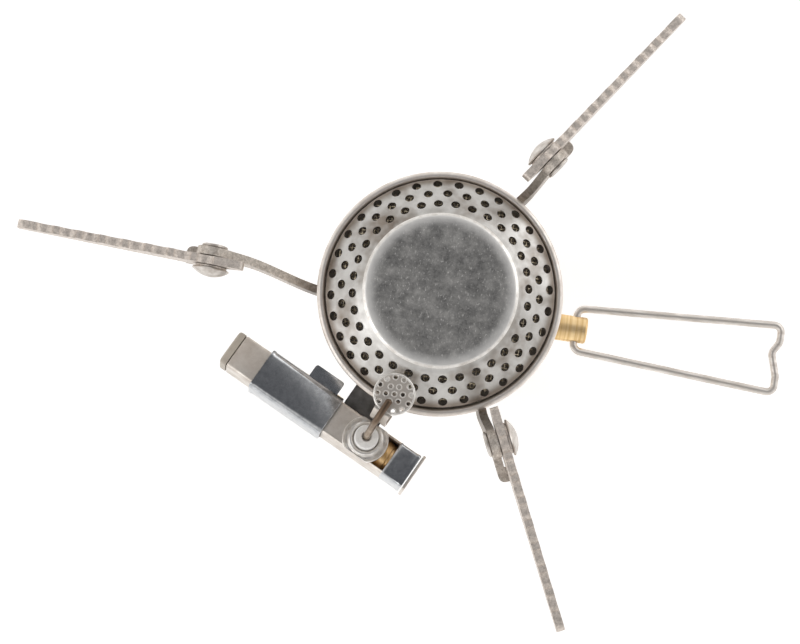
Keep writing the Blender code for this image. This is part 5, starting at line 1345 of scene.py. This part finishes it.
class STOVE_OT_igniter(bpy.types.Operator):
    """Makes the piezo igniter: housing, cover, button, insulator, electrode, spark disc and stay"""

    bl_idname = "stove.igniter"
    bl_label = "Igniter"

    def execute(self, context):
        settings = context.scene.stove_igniter
        at = IGNITER_TURN @ IGNITER_LEAN
        width, height = HOUSING_HALF_WIDTH, HOUSING_HALF_HEIGHT

        housing = add_piece("igniter_housing", housing_shape(), "matt mirror bright")
        cut(housing, window_cutter())
        bm = bmesh.new()
        bm.from_mesh(housing.data)
        for face in bm.faces:
            face.material_index = 1 if face.calc_center_median().x > WINDOW_END else 0
        flat_faces = len(bm.faces)
        pressed_dish(bm)
        for face in bm.faces[flat_faces:]:
            face.material_index = 2
        bmesh.ops.transform(bm, matrix=at, verts=bm.verts)
        bm.to_mesh(housing.data)
        bm.free()
        smooth_faces(housing.data)

        cover = add_piece("igniter_cover", cover_shape(), "mirror", transform=at)
        bevel(cover, 0.1 * MM)
        cap = mm((0.3, 0.25), (0.45, 0), (0.95, 0), (1.1, 0.2), at=(HOUSING_END, 0))
        shape = bar(cap, width + 0.5 * MM, height + 0.5 * MM, 0.9 * MM)
        add_piece("igniter_end_cap", shape, "matt", transform=at)

        sleeve = mm((-33.8, -0.1), (-33.6, 0), (-22.2, 0), (-22.1, -0.1))
        shape = channel(sleeve, width, height, 0.6 * MM, 0.9 * MM)
        add_piece("button_sleeve", shape, "matt", "button", at)
        crown = mm((-36, 0.75), (-35.93, 0.4), (-35.7, 0.12), (-35.35, 0), (-34.1, 0))
        plug = mm((-34.1, 0.9), (-26.2, 0.9))
        shape = bar(crown + plug, width, height, 1.0 * MM)
        add_piece("igniter_button", shape, "plastic", "button", at)

        piezo = [
            *mm((0, -12), (3.7, -12), (4, -11.7), (4, 12.1), (3.85, 12.3)),
            *mm((3.85, 12.8), (4, 13), (4, 18.4), (3.7, 18.7), (0, 18.7)),
        ]
        shape = lathe(piezo, 48, matrix=ALONG_X)
        add_piece("piezo_cylinder", shape, "brass_tube", transform=at)

        upright_boss = at @ Matrix.Translation((BOSS_ALONG, 0, 0))
        top = height + INSULATOR_ABOVE_HOUSING
        insulator = [
            *mm((0, -0.6), (2.8, -0.6), (3, -0.4), at=(0, height)),
            (3.0 * MM, top - 0.45 * MM),
            *arc((2.6 * MM, top - 0.4 * MM), 0.4 * MM, 20, 90, 4),
            *mm((1.35, 0), (1.15, -0.25), (1.15, -1), (0, -1), at=(0, top)),
        ]
        shape = lathe(insulator, 64)
        add_piece("ceramic_insulator", shape, "ceramic", transform=upright_boss)
        collar = [
            *mm((3.3, 0.8), (4.1, 0.8), (4.3, 1), (4.3, 1.9), at=(0, height)),
            *mm((4.05, 2.25), (3.75, 2.3), (3.4, 2.1), (3.3, 1.9), at=(0, height)),
        ]
        shape = lathe(collar, 64, closed=True)
        add_piece("insulator_collar", shape, "bright", transform=upright_boss)
        electrode = wire_along(electrode_path(), settings.electrode_radius, 20)
        add_piece(
            "electrode_wire", electrode, "tinted", transform=IGNITER_TURN
        )
        shape = spark_disc_shape(settings.spark_hole_radius)
        disc = add_piece(
            "spark_disc", shape, "matt bright", transform=IGNITER_TURN
        )
        bevel(disc, 0.06 * MM)
        # Painted shade: the stay's dark grey finish stands for the shade it lies in under the burner.
        stay = add_piece(
            "igniter_stay", stay_shape(), "dark", transform=IGNITER_TURN
        )
        bevel(stay, 0.15 * MM)
        return {"FINISHED"}


# ---------------------------------------------------------------- stage


FLOOR_RADIUS = 4.0
FLOOR_THICKNESS = 0.01
FLOOR_DROP = 0.4 * MM
FLOOR_GLOW = 0.46
SKY_STRENGTH = 0.82
# The sine of the height above the horizon where the sky starts to turn grey, and where it is grey
SKY_TURNS_GREY = (0.79, 0.9)
SOFTBOX_SIZE = 0.9
SOFTBOXES = (
    # name, place, power in watts
    ("left_softbox", (-0.9, -0.5, 0.9), 3.0),
    ("right_softbox", (0.9, 0.7, 0.7), 2.5),
)
LENS = 95.11
CAMERA_PLACE = (-0.00249, -0.04953, 0.57563)
CAMERA_TURN = (math.radians(4.606), math.radians(0.003), math.radians(8.505))


class STOVE_OT_stage(bpy.types.Operator):
    """Makes the floor, the soft light and the camera"""

    bl_idname = "stove.stage"
    bl_label = "Stage"

    def execute(self, context):
        scene = context.scene
        colour = scene.stove_colours.floor
        # Painted board, matt: an even off-white with a faint drift, lit a little from itself.
        finish, tree, shader, _, drift = start_material(
            "painted_floor", 400, colour, shade(colour, 0.985), 0.9, metallic=0.0
        )
        tree.links.new(drift, shader["Emission Color"])
        shader["Emission Strength"].default_value = FLOOR_GLOW
        shader["Specular IOR Level"].default_value = 0.0
        bm = plate([circle((0, 0), FLOOR_RADIUS, 64)], -FLOOR_DROP - FLOOR_THICKNESS, -FLOOR_DROP)
        mesh = bpy.data.meshes.new("floor")
        bm.to_mesh(mesh)
        bm.free()
        mesh.materials.append(finish)
        floor = bpy.data.objects.new("floor", mesh)
        scene.collection.objects.link(floor)
        scene.view_settings.view_transform = "Standard"

        # An even pale sky that is greyer straight overhead, which the flat steel faces mirror.
        world = bpy.data.worlds.new("soft_light")
        scene.world = world
        world.use_nodes = True
        tree = world.node_tree
        direction = add_node(tree, "ShaderNodeTexCoord", output="Generated")
        height = add_node(tree, "ShaderNodeSeparateXYZ", {"Vector": direction}, output="Z")
        overhead = add_node(
            tree, "ShaderNodeMapRange",
            {"Value": height, "From Min": SKY_TURNS_GREY[0], "From Max": SKY_TURNS_GREY[1]},
            interpolation_type="SMOOTHSTEP",
        )
        layers = {0: overhead, 6: rgba("#FFFEFC"), 7: rgba("#7D7E81")}
        sky = add_node(tree, "ShaderNodeMix", layers, **COLOUR_MIX)
        background = tree.nodes["Background"].inputs
        tree.links.new(sky, background["Color"])
        background["Strength"].default_value = SKY_STRENGTH

        for name, place, power in SOFTBOXES:
            light = bpy.data.lights.new(name, "AREA")
            light.energy = power
            light.size = SOFTBOX_SIZE
            lamp = bpy.data.objects.new(name, light)
            lamp.location = place
            lamp.rotation_euler = (-Vector(place)).to_track_quat("-Z", "Y").to_euler()
            scene.collection.objects.link(lamp)

        camera_data = bpy.data.cameras.new("camera")
        camera_data.lens = LENS
        camera_data.sensor_width = 36
        camera = bpy.data.objects.new("camera", camera_data)
        camera.location = CAMERA_PLACE
        camera.rotation_euler = CAMERA_TURN
        scene.collection.objects.link(camera)
        scene.camera = camera
        return {"FINISHED"}


# ---------------------------------------------------------------- panel and start


OPERATORS = (
    STOVE_OT_materials,
    STOVE_OT_valve,
    STOVE_OT_burner,
    STOVE_OT_supports,
    STOVE_OT_control,
    STOVE_OT_igniter,
    STOVE_OT_stage,
)
SETTINGS = (
    ("stove_colours", StoveColours, "Colours"),
    ("stove_burner", StoveBurner, "Burner"),
    ("stove_supports", StoveSupports, "Pot supports"),
    ("stove_handle", StoveHandle, "Handle"),
    ("stove_igniter", StoveIgniter, "Igniter"),
)


class STOVE_PT_sidebar(bpy.types.Panel):
    """Lists the stove's settings and operators"""

    bl_idname = "STOVE_PT_sidebar"
    bl_label = "Camping Stove"
    bl_space_type = "VIEW_3D"
    bl_region_type = "UI"
    bl_category = "Stove"

    def draw(self, context):
        for attribute, group, label in SETTINGS:
            box = self.layout.box()
            box.label(text=label)
            for name in group.__annotations__:
                box.prop(getattr(context.scene, attribute), name)
        column = self.layout.column()
        for operator in OPERATORS:
            column.operator(operator.bl_idname)


def register():
    for attribute, group, _ in SETTINGS:
        bpy.utils.register_class(group)
        setattr(bpy.types.Scene, attribute, bpy.props.PointerProperty(type=group))
    for operator in OPERATORS:
        bpy.utils.register_class(operator)
    bpy.utils.register_class(STOVE_PT_sidebar)


def unregister():
    bpy.utils.unregister_class(STOVE_PT_sidebar)
    for operator in reversed(OPERATORS):
        bpy.utils.unregister_class(operator)
    for attribute, group, _ in reversed(SETTINGS):
        delattr(bpy.types.Scene, attribute)
        bpy.utils.unregister_class(group)


def main():
    register()
    bpy.ops.stove.materials()
    bpy.ops.stove.valve()
    bpy.ops.stove.burner()
    bpy.ops.stove.supports()
    bpy.ops.stove.control()
    bpy.ops.stove.igniter()
    bpy.ops.stove.stage()


if __name__ == "__main__":
    main()
